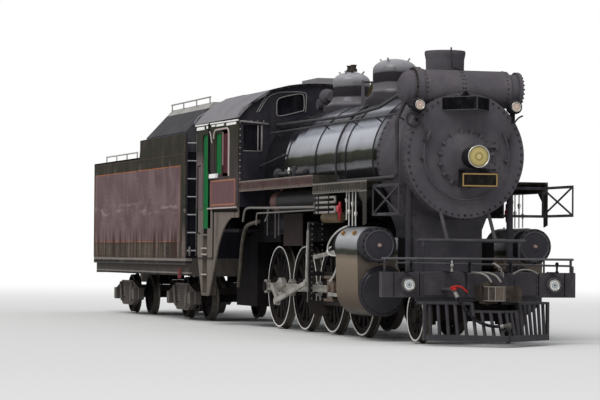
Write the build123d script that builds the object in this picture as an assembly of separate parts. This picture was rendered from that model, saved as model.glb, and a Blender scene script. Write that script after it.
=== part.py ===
"""Steam locomotive with eight driving wheels, two leading wheels and its oil-burning tender.

Millimetres. +X forward, +Y to the locomotive's left, +Z up. The origin is on the ground
under the middle of the machine, which stands on the tips of its wheel flanges.
"""
from build123d import *
import math
import os

# Driving dimensions: the whole machine
rear_end = -11380                   # face of the rear coupler
flange = 28                         # depth of a wheel flange
rail_top = flange
wheel_in = 680                      # inner face of every wheel
wheel_out = 820                     # outer face of every tyre
hub_in = wheel_in - 10              # inner face of every hub, where it meets its axle

# Driving dimensions: wheels
driver_radius = 737
driver_z = rail_top + driver_radius
driver_x = (6840, 5230, 3620, 2010)
main_axle = 2                       # index of the axle that the main rods drive
crank_radius = 406
crank_angle = {-1: 180, 1: 270}     # right side at the back, left side at the bottom
pilot_wheel_radius = 394
pilot_wheel_x = 9500
tender_wheel_radius = 419
truck_x = (-4060, -9060)
truck_half_base = 875

# Driving dimensions: boiler and smokebox
boiler_z = 2893
boiler_radius = 1025
smokebox_radius = 980
smokebox_rear = 8050
smokebox_front = 9404
barrel_rear = 3118
backhead_x = 760
firebox_half = 1015
mud_ring_z = 1700

# Driving dimensions: rods and valve gear, as distances from the middle
side_rod_y = 930
main_rod_y = 1120
valve_y = 1280
cylinder_z = 790
cylinder_front = 8820
cylinder_rear = 7700
main_rod_length = 3050

# Driving dimensions: cab, running boards, front end and tender
cab_front_x = 1700
cab_rear_x = -1290
cab_half = 1530
cab_floor_z = 1800
eave_z = 3815
cab_wall = 45
frame_in, frame_out = 500, 620      # the bar frame's two sides, across the machine
frame_top = 1160
frame_step_x = 7760                 # where the bars give way to the lower front rails
board_high_z = 2656
board_low_z = 2508
board_step_x = 6300
board_front_x = 9060
beam_front = 10120
beam_half = 1556
beam_bottom = 718
beam_top = 1098
tender_front = -2173
tender_rear = -10702
tender_half = 1537
tank_bottom = 1250
tank_top = 3328
wing_top = 3693
wing_end = -6130


# Small builders

def block(x0, x1, y0, y1, z0, z1):
    """A box given by its limits."""
    return Pos((x0 + x1) / 2, (y0 + y1) / 2, (z0 + z1) / 2) * Box(x1 - x0, y1 - y0, z1 - z0)


def bar(start, end, radius):
    """A round bar from one point to another."""
    along = Vector(*end) - Vector(*start)
    return extrude(Plane(origin=start, z_dir=along) * Circle(radius), amount=along.length)


def side_plate(points, y0, y1):
    """A plate drawn in side view, as X and Z, and thick across the machine."""
    outline = make_face(Polyline(*[(x, y0, z) for x, z in points], close=True))
    return extrude(outline, amount=y1 - y0, dir=(0, 1, 0))


def cross_plate(points, x0, x1):
    """A plate drawn in front view, as Y and Z, and thick along the machine."""
    outline = make_face(Polyline(*[(x0, y, z) for y, z in points], close=True))
    return extrude(outline, amount=x1 - x0, dir=(1, 0, 0))


def deck_plate(points, z0, z1):
    """A plate drawn from above, as X and Y."""
    outline = make_face(Polyline(*[(x, y, z0) for x, y in points], close=True))
    return extrude(outline, amount=z1 - z0, dir=(0, 0, 1))


def pipe(points, bend, radius):
    """A rigid pipe through points, with one bend radius."""
    path = FilletPolyline(*points, radius=bend)
    return sweep(Plane(origin=path @ 0, z_dir=path % 0) * Circle(radius), path=path)


def turned(profile, origin, axis):
    """A turned piece: the profile's radius and distance along the axis, from the origin."""
    outline = make_face(Polyline(*[(r, 0, d) for r, d in profile], close=True))
    piece = revolve(outline, Axis.Z, 360)
    return Plane(origin=origin, z_dir=axis) * piece


def fuse(first, *others):
    """One solid from pieces that are riveted, welded or cast together."""
    for other in others:
        first = first + other
    return first


def mirrored(piece):
    """The same piece on the other side of the machine."""
    return mirror(piece, Plane.XZ)


def save(node, *pieces):
    """Write one node's solids to its own file."""
    solids = [solid for piece in pieces for solid in piece.solids()]
    export_step(Compound(children=solids) if len(solids) > 1 else solids[0], f"parts/{node}.step")


# Wheels

def tyre(radius, rim):
    """Steel tyre: flat tread, flange inside, fitted on the wheel centre's rim."""
    profile = [(rim, wheel_in), (radius + 18, wheel_in), (radius + flange, wheel_in + 12),
               (radius + flange - 4, wheel_in + 24), (radius, wheel_in + 40),
               (radius - 5, wheel_out), (rim, wheel_out)]
    return turned(profile, (0, 0, 0), (0, 0, 1))


def wheel_centre(rim, rim_depth, hub, spokes, spoke_width):
    """Cast wheel centre: rim, hub and tapered spokes, with its axis along Z."""
    inner, outer = wheel_in + 15, wheel_out - 15
    centre = turned([(rim - rim_depth, inner), (rim, inner), (rim, outer), (rim - rim_depth, outer)],
                    (0, 0, 0), (0, 0, 1))
    centre += turned([(0, hub_in), (hub, hub_in), (hub, wheel_out + 20), (0, wheel_out + 20)],
                     (0, 0, 0), (0, 0, 1))
    reach = rim - rim_depth + 12
    half_in, half_out = spoke_width * 0.62, spoke_width * 0.42
    root = hub - 12
    outline = make_face(Polyline((root, -half_in, 715), (reach, -half_out, 715), (reach, half_out, 715),
                                 (root, half_in, 715), close=True))
    spoke = extrude(outline, amount=68, dir=(0, 0, 1))
    for turn in range(spokes):
        centre += Rot(Z=(turn + 0.5) * 360 / spokes) * spoke
    return centre


def counterweight(half_angle):
    """Crescent cast between the spokes, opposite the crank pin."""
    arc_radius = 590
    start = (arc_radius * math.cos(math.radians(half_angle)), arc_radius * math.sin(math.radians(half_angle)))
    end = (start[0], -start[1])
    curve = ThreePointArc(start, (arc_radius, 0), end)
    chord = ThreePointArc(end, (start[0] - 70, 0), start)
    face = make_face([curve, chord])
    return Pos(0, 0, wheel_in + 25) * extrude(face, amount=110, dir=(0, 0, 1))


def driving_wheelset(position):
    """Axle, two spoked wheels, counterweights, crank bosses and crank pins."""
    rim = driver_radius - 72
    main = position == main_axle
    place = Pos(driver_x[position], 0, driver_z) * Rot(X=-90)
    pieces = [place * Pos(0, 0, -hub_in) * extrude(Circle(112), amount=2 * hub_in)]
    for side, angle in crank_angle.items():
        wheel = fuse(tyre(driver_radius, rim), wheel_centre(rim + 1, 62, 165, 14, 78))
        weight = Rot(Z=180) * counterweight(62 if main else 44)
        boss_root, boss_face = wheel_in + 20, side_rod_y - 50
        boss = Pos(crank_radius, 0, boss_root) * extrude(Circle(118), amount=boss_face - boss_root)
        pin_root, pin_radius = wheel_out - 60, 82 if main else 62
        pin = Pos(crank_radius, 0, pin_root) * extrude(Circle(pin_radius), amount=side_rod_y + 55 - pin_root)
        web = Pos(crank_radius / 2, 0, 765) * Box(crank_radius, 190, 130)
        wheel = fuse(wheel, weight, boss, pin, web)
        if not main:
            wheel += Pos(crank_radius, 0, side_rod_y + 45) * extrude(Circle(84), amount=22)
        pieces.append(place * Rot(Z=-angle) * (wheel if side == 1 else mirror(wheel, Plane.XY)))
    return pieces


def pilot_wheelset():
    """Leading wheelset: axle, two small spoked wheels."""
    rim = pilot_wheel_radius - 58
    place = Pos(pilot_wheel_x, 0, rail_top + pilot_wheel_radius) * Rot(X=-90)
    axle = Pos(0, 0, -hub_in) * extrude(Circle(82), amount=2 * hub_in)
    wheel = fuse(tyre(pilot_wheel_radius, rim), wheel_centre(rim + 1, 45, 115, 10, 62))
    return [place * axle, place * wheel, place * mirror(wheel, Plane.XY)]


def tender_wheelset(x):
    """Tender wheelset: axle with journals and two dished plate wheels."""
    radius = tender_wheel_radius
    journal_end = 1105
    wheel_profile = [(0, hub_in), (140, hub_in), (140, wheel_in + 30), (radius - 60, wheel_in + 62),
                     (radius - 60, wheel_in), (radius + 18, wheel_in), (radius + flange, wheel_in + 12),
                     (radius + flange - 4, wheel_in + 24), (radius, wheel_in + 40), (radius - 5, wheel_out),
                     (radius - 60, wheel_out), (radius - 60, wheel_in + 96), (140, wheel_in + 70),
                     (140, wheel_out + 14), (70, wheel_out + 14), (70, journal_end), (0, journal_end)]
    wheel = turned(wheel_profile, (0, 0, 0), (0, 0, 1))
    axle = Pos(0, 0, -hub_in) * extrude(Circle(70), amount=2 * hub_in)
    place = Pos(x, 0, rail_top + radius) * Rot(X=-90)
    return [place * axle, place * wheel, place * mirror(wheel, Plane.XY)]


# Running gear

def crank_offset(side):
    """Where a crank pin stands from its axle, as X and Z."""
    angle = math.radians(crank_angle[side])
    return crank_radius * math.cos(angle), crank_radius * math.sin(angle)


def side_rods(side):
    """Three coupling rods knuckled together, with an eye on each crank pin."""
    shift_x, shift_z = crank_offset(side)
    z = driver_z + shift_z
    y0, y1 = side_rod_y - 38, side_rod_y + 38
    rods = None
    for x in driver_x:
        eye = 150 if x == driver_x[main_axle] else 125
        ring = Pos(x + shift_x, side_rod_y, z) * Rot(X=90) * Cylinder(eye, y1 - y0)
        rods = ring if rods is None else rods + ring
    for x_front, x_rear in zip(driver_x, driver_x[1:]):
        span = block(x_rear + shift_x, x_front + shift_x, y0 + 6, y1 - 6, z - 62, z + 62)
        flute = block(x_rear + shift_x + 200, x_front + shift_x - 200, y1 - 24, y1, z - 36, z + 36)
        rods += span - flute
    for x in driver_x:
        pin = 82 if x == driver_x[main_axle] else 62
        rods -= Pos(x + shift_x, side_rod_y, z) * Rot(X=90) * Cylinder(pin + 1, 200)
    return rods if side == 1 else mirrored(rods)


def crosshead_x(side):
    """Where the wrist pin stands for the crank's place at rest."""
    shift_x, shift_z = crank_offset(side)
    rise = cylinder_z - (driver_z + shift_z)
    return driver_x[main_axle] + shift_x + math.sqrt(main_rod_length ** 2 - rise ** 2)


def crosshead(side):
    """Crosshead between its two guide bars, with the piston rod."""
    x = crosshead_x(side)
    y = main_rod_y
    body = side_plate([(x - 110, 640), (x + 170, 610), (x + 250, 740), (x + 250, 840), (x + 170, 970),
                       (x - 110, 940)], y - 78, y + 78)
    shoes = block(x - 250, x + 250, y - 92, y + 92, 955, 1000)
    shoes += block(x - 250, x + 250, y - 92, y + 92, 580, 625)
    webs = block(x - 60, x + 160, y - 40, y + 40, 600, 980)
    mouth = block(x - 300, x + 105, y - 42, y + 42, 600, 980)
    rod = bar((x + 200, y, cylinder_z), (cylinder_rear - 45, y, cylinder_z), 48)
    pin = bar((x, y - 90, cylinder_z), (x, y + 105, cylinder_z), 58)
    piece = fuse(body, shoes, webs) - mouth
    piece = fuse(piece, rod, pin)
    return piece if side == 1 else mirrored(piece)


def main_rod(side):
    """Main rod from the crosshead to the main crank pin, with the pin's outer end."""
    shift_x, shift_z = crank_offset(side)
    big = Vector(driver_x[main_axle] + shift_x, main_rod_y, driver_z + shift_z)
    small = Vector(crosshead_x(side), main_rod_y, cylinder_z)
    length = (small - big).length
    tilt = math.degrees(math.atan2(small.Z - big.Z, small.X - big.X))
    rod = Pos(0, 0, 0) * Rot(X=90) * Cylinder(172, 84)
    rod += block(-190, 60, -42, 42, -105, 105)
    outline = [(100, -70), (length - 90, -52), (length - 90, 52), (100, 70)]
    rod += side_plate(outline, -30, 30)
    rod -= side_plate([(260, -44), (length - 210, -30), (length - 210, 30), (260, 44)], 16, 30)
    rod += Pos(length, 0, 0) * Rot(X=90) * Cylinder(98, 76)
    rod -= Pos(length, 0, 0) * Rot(X=90) * Cylinder(58, 200)
    stub = Pos(0, 10, 0) * Rot(X=90) * Cylinder(82, 240)
    rod = Pos(big.X, big.Y, big.Z) * Rot(Y=-tilt) * (rod + stub)
    return rod if side == 1 else mirrored(rod)


def link_bar(start, end, y, width, depth, eye):
    """A flat bar with a round eye at each end, drawn in side view."""
    along = math.hypot(end[0] - start[0], end[1] - start[1])
    tilt = math.degrees(math.atan2(end[1] - start[1], end[0] - start[0]))
    piece = block(0, along, -width / 2, width / 2, -depth / 2, depth / 2)
    piece += Rot(X=90) * Cylinder(eye, width)
    piece += Pos(along, 0, 0) * Rot(X=90) * Cylinder(eye, width)
    return Pos(start[0], y, start[1]) * Rot(Y=-tilt) * piece


def valve_gear(side):
    """Return crank, eccentric rod, slotted link, radius rod, combination lever and valve stem."""
    shift_x, shift_z = crank_offset(side)
    main_pin = (driver_x[main_axle] + shift_x, driver_z + shift_z)
    crank_turn = math.radians(crank_angle[side] + 68)
    return_pin = (driver_x[main_axle] + 250 * math.cos(crank_turn), driver_z + 250 * math.sin(crank_turn))
    link_foot = (5340, 868)
    link_pivot = (5390, 1330)
    lever_x = 7430
    gear = link_bar(main_pin, return_pin, 1275, 50, 100, 72)
    gear += bar((*return_pin[:1], 1240, return_pin[1]), (*return_pin[:1], 1350, return_pin[1]), 36)
    gear += link_bar(return_pin, link_foot, 1325, 44, 76, 62)
    gear += bar((link_foot[0], 1262, link_foot[1]), (link_foot[0], 1350, link_foot[1]), 30)
    link = link_bar(link_foot, (link_pivot[0] + 30, 1700), 1280, 70, 130, 70)
    slot = block(5390, 5435, 1200, 1320, 1080, 1640)
    gear += link - slot
    gear += bar((link_pivot[0], 1180, link_pivot[1]), (link_pivot[0], 1330, link_pivot[1]), 40)
    gear += link_bar((link_pivot[0] + 20, 1290), (lever_x, 1440), 1245, 30, 70, 42)
    gear += link_bar((lever_x, 1498), (lever_x - 60, 690), 1280, 46, 70, 44)
    gear += bar((lever_x, 1225, 1440), (lever_x, 1310, 1440), 26)
    gear += bar((lever_x, 1280, 1498), (7900, 1280, 1498), 30)
    gear += link_bar((lever_x - 60, 690), (crosshead_x(side) + 150, 700), 1235, 30, 56, 36)
    gear += bar((lever_x - 60, 1222, 690), (lever_x - 60, 1300, 690), 24)
    gear += bar((crosshead_x(side) + 150, 1198, 700), (crosshead_x(side) + 150, 1250, 700), 30)
    return gear if side == 1 else mirrored(gear)


def guide_bars(side):
    """Upper and lower guide bars from the cylinder's rear head to the guide yoke."""
    y = main_rod_y
    upper = block(5960, cylinder_rear - 50, y - 80, y + 80, 1000, 1065)
    lower = block(5960, cylinder_rear - 50, y - 80, y + 80, 515, 580)
    return [piece if side == 1 else mirrored(piece) for piece in (upper, lower)]


def guide_yoke():
    """Cross plate ahead of the second axle: beam over the frame and a ring round each main rod."""
    half = [(0, 1160), (640, 1160), (640, 1600), (1010, 1600), (1010, 480), (1090, 380), (1250, 320),
            (1400, 380), (1450, 520), (1450, 1888), (0, 1888)]
    plate = cross_plate(half, 5920, 5960)
    plate -= block(5900, 6000, 1055, 1385, 585, 995)
    plate -= block(5900, 6000, 1055, 1385, 1070, 1560)
    plate += block(5880, 6000, 560, 1450, 1845, 1888)
    return plate + mirrored(plate) - boiler_barrel()


# Engine frame

def frame_bar():
    """Left side bar of the frame: axle pedestals below, weight cut out between them."""
    bottom, rear, rear_drop, front_drop = 560, -1150, 980, 880
    outline = [(rear, rear_drop), (rear, frame_top), (frame_step_x, frame_top), (frame_step_x, front_drop),
               (7700, front_drop), (7560, bottom), (1300, bottom), (1100, rear_drop)]
    side = side_plate(outline, frame_in, frame_out)
    for x in driver_x:
        side -= block(x - 135, x + 135, 400, 700, bottom - 10, 930)
    gaps = [(driver_x[0] + 260, 7480)] + [(b + 230, a - 230) for a, b in zip(driver_x, driver_x[1:])]
    for x0, x1 in gaps:
        side -= block(x0, x1, 400, 700, 690, 1010)
    return side


def frame_stays():
    """Castings that tie the two side bars, two of them with a web up to the boiler, and the front rails."""
    castings = [block(x0, x1, -frame_in, frame_in, 900, 1140)
                for x0, x1 in ((700, 1000), (5925, 6140), (7500, 7740))]
    for x0, x1, web_x in ((2700, 2930, 2850), (4310, 4540, 4420)):
        web = block(web_x - 15, web_x + 15, -430, 430, 1140, boiler_z) - boiler_shell()
        castings.append(block(x0, x1, -frame_in, frame_in, 900, 1140) + web)
    drawbar_pocket = deck_plate([(-1200, -230), (-720, -150), (-720, 150), (-1200, 230)], 945, 1055)
    castings.append(block(-1150, -700, -frame_in, frame_in, 900, 1140) - drawbar_pocket + drawbar_pin())
    rail = block(frame_step_x, beam_front - 150, frame_in, frame_out, 880, beam_top - 14)
    return [*castings, rail, mirrored(rail)]


def driving_boxes():
    """Axle boxes that fill the frame's pedestals, each bored for its axle."""
    boxes = []
    for x in driver_x:
        box = block(x - 134, x + 134, 470, 650, 620, 930)
        box -= Pos(x, 560, driver_z) * Rot(X=90) * Cylinder(114, 300)
        boxes += [box, mirrored(box)]
    return boxes


def boiler_shell():
    """The space that barrel and firebox fill, for seating other pieces on them."""
    barrel = bar((barrel_rear, 0, boiler_z), (smokebox_rear, 0, boiler_z), boiler_radius)
    return barrel + firebox_shell()


def firebox_shell():
    """Firebox: round top, upright sides down to the mud ring, tapering in towards the backhead."""
    arch = [ThreePointArc((firebox_half, boiler_z), (0, boiler_z + boiler_radius), (-firebox_half, boiler_z)),
            Polyline((-firebox_half, boiler_z), (-firebox_half, mud_ring_z), (firebox_half, mud_ring_z),
                     (firebox_half, boiler_z))]
    face = make_face(arch)
    section = Plane(origin=(barrel_rear, 0, 0), x_dir=(0, 1, 0), z_dir=(1, 0, 0)) * face
    solid = extrude(section, amount=barrel_rear - backhead_x, dir=(-1, 0, 0))
    top = boiler_z + boiler_radius
    top_cut = side_plate([(barrel_rear - 60, top + 5), (backhead_x, top - 150), (backhead_x - 20, top + 100),
                          (barrel_rear, top + 100)], -900, 900)
    return solid - top_cut


def boiler_barrel():
    """Jacketed barrel with raised bands where the jacket's sheets meet."""
    barrel = bar((barrel_rear, 0, boiler_z), (smokebox_rear, 0, boiler_z), boiler_radius)
    for x in (barrel_rear + 60, 4876, 6563, smokebox_rear - 40):
        barrel += bar((x - 38, 0, boiler_z), (x + 38, 0, boiler_z), boiler_radius + 7)
    return barrel


# Smokebox, stack and heater

heater_x = 9110
heater_z = 3935
heater_radius = 290
heater_half = 980
stack_x = 8485


def feedwater_heater():
    """Cross heater over the smokebox front: dished head on the right, bolted flat cover on the left."""
    dished = [(0, -heater_half), (150, -heater_half + 22), (235, -heater_half + 80), (275, -heater_half + 170),
              (275, -752), (heater_radius + 36, -752), (heater_radius + 36, -655), (heater_radius, -655)]
    cover = heater_radius - 8
    flat = [(heater_radius, 775), (cover - 37, 820), (cover - 37, 925), (cover, 925), (cover, heater_half),
            (0, heater_half)]
    return turned(dished + flat, (heater_x, 0, heater_z), (0, 1, 0))


def smokebox():
    """Smokebox drum with its front ring, sunk under the heater and seated for the stack."""
    drum = bar((smokebox_rear, 0, boiler_z), (smokebox_front, 0, boiler_z), smokebox_radius)
    drum += bar((smokebox_front, 0, boiler_z), (smokebox_front + 34, 0, boiler_z), smokebox_radius - 12)
    drum -= bar((heater_x, -1200, heater_z), (heater_x, 1200, heater_z), heater_radius + 39)
    drum -= bar((stack_x, 0, boiler_z + 600), (stack_x, 0, 4300), 290)
    return drum


def smokebox_door():
    """Dished round door held by dogs round its edge and hung on two arms."""
    face, door_z, dog_count = smokebox_front + 34, boiler_z - 55, 16
    door = turned([(0, 0), (415, 0), (415, 26), (388, 36), (380, 58), (250, 90), (0, 108)],
                  (face, 0, door_z), (1, 0, 0))
    for turn in range(dog_count):
        dog = Rot(X=(turn + 0.5) * 360 / dog_count) * block(0, 58, -22, 22, 366, 458)
        door += Pos(face, 0, door_z) * dog
    for z in (door_z + 205, door_z - 125):
        door += block(face, face + 66, 300, 520, z - 24, z + 24)
        door += bar((face + 33, 505, z - 60), (face + 33, 505, z + 60), 30)
    return door


def stack():
    """Cast stack with a flared base, widening to a thin rim, open at the top."""
    base = boiler_z + math.sqrt(smokebox_radius ** 2 - 290 ** 2)
    outline = [(240, 3760), (290, 3760), (290, base + 60), (395, base + 60), (330, base + 170),
               (296, base + 240), (304, 4430), (322, 4515), (322, 4556), (312, 4568), (276, 4568),
               (262, 4430), (240, 4100)]
    return turned(outline, (stack_x, 0, 0), (0, 0, 1))


# Boiler fittings

rear_dome = (3640, 325, 4550, 170)          # place along the boiler, radius, top, depth of its round crown
front_dome = (6020, 370, 4618, 190)


def dome(x, radius, top, crown):
    """Pressed dome casing flared on to the boiler, round on top, with lifting lugs on its shoulder."""
    base, shoulder, crown_steps = boiler_z + boiler_radius - 220, top - crown, 8
    outline = [(0, base), (radius + 190, base), (radius + 130, base + 235), (radius + 30, base + 330),
               (radius, base + 400)]
    for step in range(crown_steps):
        rise = math.radians(90 * step / crown_steps)
        outline.append((radius * math.cos(rise), shoulder + crown * math.sin(rise)))
    casing = turned([*outline, (0, top)], (x, 0, 0), (0, 0, 1))
    lug_rise, lug_length = math.radians(50), 58
    for turn in range(4):
        angle = math.radians(45 + 90 * turn)
        level = math.cos(lug_rise)
        out = Vector(level * math.cos(angle), level * math.sin(angle), math.sin(lug_rise))
        seat = Vector(x + radius * out.X, radius * out.Y, shoulder + crown * out.Z)
        casing += bar(tuple(seat - out * 20), tuple(seat + out * lug_length), 15)
    return casing - boiler_barrel()


def domes_space():
    """Both dome casings as one shape, for seating the sand pipes."""
    return dome(*rear_dome) + dome(*front_dome)


def safety_valves():
    """Two safety valves and the whistle on the rear dome's crown."""
    top = rear_dome[2]
    valve = [(0, 0), (62, 0), (62, 40), (44, 60), (44, 105), (56, 112), (56, 122), (0, 122)]
    return [turned(valve, (rear_dome[0] + shift, 0, top), (0, 0, 1)) for shift in (-120, 120)]


bell_x = 5000
bell_z = 4290


def bell_harp():
    """Bell stand: two posts on the boiler with a trunnion each."""
    top = boiler_z + boiler_radius
    post = side_plate([(bell_x - 90, top - 60), (bell_x + 90, top - 60), (bell_x + 30, bell_z),
                       (bell_x - 30, bell_z)], 215, 240)
    post += Pos(bell_x, 227.5, bell_z) * Rot(X=90) * Cylinder(34, 25)
    post -= Pos(bell_x, 227.5, bell_z) * Rot(X=90) * Cylinder(16, 60)
    return [post - boiler_shell(), mirrored(post) - boiler_shell()]


def bell():
    """Cast bell hung from a yoke between the two posts."""
    shape = [(30, 20), (70, 5), (100, -60), (125, -180), (165, -235), (150, -238), (108, -175), (84, -60),
             (56, -20), (30, -10)]
    cup = turned([(r, bell_z + d) for r, d in shape], (bell_x, 0, 0), (0, 0, 1))
    yoke = Pos(bell_x, 0, bell_z) * Rot(X=90) * Cylinder(15, 2 * 240)
    crown = bar((bell_x, 0, bell_z - 15), (bell_x, 0, bell_z + 45), 36)
    return fuse(cup, crown, yoke)


def turret():
    """Steam turret, turbo-generator and whistle ahead of the cab roof."""
    body = bar((2120, -160, 4060), (2120, 260, 4060), 95)
    body += Pos(2200, 0, 4190) * Sphere(150)
    body += bar((2200, 0, 3800), (2200, 0, 4100), 70)
    body += bar((2150, 0, 4190), (2480, 0, 4190), 90)
    return body - boiler_shell()


# Handrails and pipes outside the boiler

rail_y = 950
rail_z = 3535


def boiler_handrail():
    """Handrail along the boiler on stanchions that stand square to the jacket."""
    rail = bar((1800, rail_y, rail_z), (8980, rail_y, rail_z), 16)
    reach = Vector(0, rail_y, rail_z - boiler_z).normalized()
    foot = Vector(0, 0, boiler_z) + reach * (smokebox_radius - 30)
    for x in (2150, 3460, 5100, 6660, 7900, 8900):
        rail += bar((x, foot.Y, foot.Z), (x, rail_y, rail_z), 13)
    drum = bar((smokebox_rear, 0, boiler_z), (smokebox_front, 0, boiler_z), smokebox_radius)
    return rail - boiler_shell() - boiler_barrel() - drum


def sand_pipe():
    """Pipe from the front dome round the barrel down to the running board."""
    x, reach = 6130, boiler_radius + 34
    angles = [math.radians(turn) for turn in (24, 61, 98)]
    top, middle, foot = [(x, reach * math.sin(a), boiler_z + reach * math.cos(a)) for a in angles]
    path = ThreePointArc(top, middle, foot)
    pipe_run = sweep(Plane(origin=path @ 0, z_dir=path % 0) * Circle(19), path=path)
    pipe_run += bar((foot[0], foot[1], foot[2] + 8), (foot[0], foot[1] - 6, board_high_z), 19)
    return pipe_run - domes_space()


def heater_pipes():
    """Steam pipe along the boiler to the heater, and its drain past the smokebox to the running board."""
    steam = pipe([(cab_front_x, -790, 3690), (6100, -790, 3650), (7600, -790, 3712), (8890, -800, 3900)],
                 300, 28)
    drain = pipe([(board_step_x, -1062, 2546), (9280, -1062, 2546), (9280, -1062, 3430), (9140, -890, 3700)],
                 85, 33)
    return [steam - feedwater_heater(), drain - feedwater_heater()]


def reach_rod():
    """Reversing rod from the cab front up to its arm on the boiler's side."""
    rod = bar((cab_front_x, -1112, 2935), (3150, -1085, 3085), 15)
    rod += bar((3150, -1000, 3085), (3150, -1110, 3085), 24)
    return rod - boiler_shell() - boiler_barrel()


# Pilot beam, deck, pilot and coupler

def pilot_beam():
    """Steel beam across the front, hollow behind, with the air hose's cock."""
    rear = beam_front - 150
    beam = block(rear, beam_front, -beam_half, beam_half, beam_bottom, beam_top)
    beam -= block(rear - 10, beam_front - 25, -beam_half + 20, beam_half - 20, beam_bottom + 40, beam_top - 40)
    beam += block(rear, beam_front, -230, 230, beam_bottom, beam_top)
    for side in (-1, 1):
        y0, y1 = sorted((side * 560, side * 900))
        beam += block(beam_front, beam_front + 14, y0, y1, beam_bottom + 30, beam_top - 30)
    outlet, after = Vector(*hose_points[0]), Vector(*hose_points[1])
    centre = outlet - (after - outlet).normalized() * 62
    cock = bar((beam_front - 25, centre.Y, centre.Z), tuple(centre), 30)
    cock += Pos(*centre) * Sphere(38)
    cock += bar(tuple(centre), tuple(outlet), 30)
    cock += bar(tuple(centre), (centre.X, centre.Y, centre.Z + 58), 12)
    return fuse(beam, cock)


def front_deck():
    """Deck plate behind the beam, on angles along the front rails."""
    deck = block(9140, beam_front - 150, -900, 900, beam_top - 14, beam_top)
    return deck + block(9360, 9660, -230, 230, beam_top, beam_top + 12)


def pilot():
    """Slatted pilot in two halves that meet at the nose: foot rail, upright bars, top plates and end posts."""
    foot_z, half, slats, gap = 128, 960, 9, 6
    foot_wing, foot_nose, head_wing, head_nose = 10420, 11320, 10360, 11060
    head_z, step_y = 640, 360           # the top plate steps down inside step_y, under the coupler
    header_bottom, post_x, post_y = beam_bottom - 60, 10395, 985
    header = block(beam_front - 110, beam_front - 10, -1010, 1010, header_bottom, beam_bottom)
    halves = []
    for side in (-1, 1):
        grille = deck_plate([(foot_wing, side * half), (foot_wing + 45, side * (half + 20)),
                             (foot_nose + 60, side * gap), (foot_nose - 60, side * gap)], foot_z - 45, foot_z + 45)
        for index in range(slats):
            share = (index + 0.5) / slats
            y = side * half * (1 - share)
            foot = Vector(foot_wing + (foot_nose - foot_wing) * share, y, foot_z)
            head = Vector(head_wing + (head_nose - head_wing) * share, y, head_z)
            if abs(y) < step_y:
                head = foot + (head - foot) * 0.775
            grille += bar(tuple(foot), tuple(head), 26)
        y0, y1 = sorted((side * (post_y - 18), side * (post_y + 18)))
        post = block(post_x - 30, post_x + 40, y0, y1, foot_z - 45, header_bottom)
        shelf = deck_plate([(beam_front - 40, side * step_y), (beam_front - 40, side * (post_y + 18)),
                            (post_x + 10, side * (post_y + 18)), (10797, side * step_y)], 622, header_bottom)
        y0, y1 = sorted((side * step_y, side * (step_y + 20)))
        web = block(10700, 10780, y0, y1, 510, 630)
        nose = deck_plate([(10700, side * (step_y + 20)), (10820, side * (step_y + 20)), (11140, side * gap),
                           (11040, side * gap)], 505, 540)
        y0, y1 = sorted((side * (step_y + 20), side * 980))
        tie = block(beam_front - 100, beam_front - 20, y0, y1, 608, header_bottom)
        halves.append(fuse(grille, post, shelf, web, nose, tie))
    hook_foot, hook_end = (11240, -53, 205), (11302, -18, 291)
    halves[0] += bar(hook_foot, hook_end, 11)
    return [header, *halves]


def coupler_plan(points):
    """Coupler outline in plan, from the beam's face, lifted to the coupler's height."""
    return [(beam_front + x, y) for x, y in points]


coupler_z = 788
coupler_nose = beam_front + 985
knuckle_pivot = (beam_front + 700, -140)


def coupler_body():
    """Coupler shank and head with its guard arm and two ears for the knuckle pin."""
    head = deck_plate(coupler_plan([(-140, -80), (330, -80), (470, -185), (600, -185), (600, -60), (590, 60),
                                    (700, 130), (820, 215), (960, 240), (960, 300), (760, 300), (500, 220),
                                    (330, 80), (-140, 80)]), coupler_z - 110, coupler_z + 110)
    ear = deck_plate(coupler_plan([(560, -190), (700, -215), (770, -140), (700, -70), (560, -60)]), 0, 45)
    head += Pos(0, 0, coupler_z + 110) * ear + Pos(0, 0, coupler_z - 155) * ear
    head += deck_plate(coupler_plan([(450, -180), (600, -190), (600, 60), (450, 100)]),
                       coupler_z - 155, coupler_z + 155)
    head -= bar((*knuckle_pivot, 0), (*knuckle_pivot, 1500), 24)
    return head


def knuckle():
    """Knuckle that swings on an upright pin between the head's ears."""
    nose = deck_plate(coupler_plan([(640, -150), (700, -202), (880, -190), (970, -120), (985, 10), (940, 50),
                                    (880, 20), (870, -60), (780, -80), (700, -78), (650, -100)]),
                      coupler_z - 104, coupler_z + 104)
    pin = bar((*knuckle_pivot, coupler_z - 175), (*knuckle_pivot, coupler_z + 175), 22)
    cap = bar((*knuckle_pivot, coupler_z + 160), (*knuckle_pivot, coupler_z + 182), 36)
    return fuse(nose, pin, cap)


def turned_round(piece):
    """The same coupler piece at the tender's rear end."""
    return Pos(rear_end + coupler_nose, 0, 0) * Rot(Z=180) * piece


# Headlight and lamps

def headlight():
    """Headlight on a shelf ahead of the smokebox door, with the number plate hung before it."""
    door_face, lamp_z, plate_x = smokebox_front + 140, 2856, 10075
    lamp = turned([(0, 0), (95, 0), (160, 60), (182, 290), (182, 370), (165, 392), (0, 392)],
                  (9640, 0, lamp_z), (1, 0, 0))
    shelf = block(door_face, 10000, -150, 150, 2650, 2680)
    back = block(door_face, door_face + 30, -150, 150, 2400, 2680)
    plate = block(plate_x, plate_x + 18, -290, 290, 2392, 2604)
    piece = fuse(lamp, shelf, back, plate)
    for y in (-185, 185):
        piece += block(9960, plate_x + 5, y - 15, y + 15, 2580, 2612)
        piece += block(9960, 9990, min(y, 0), max(y, 0), 2580, 2655)
    return piece


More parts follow.
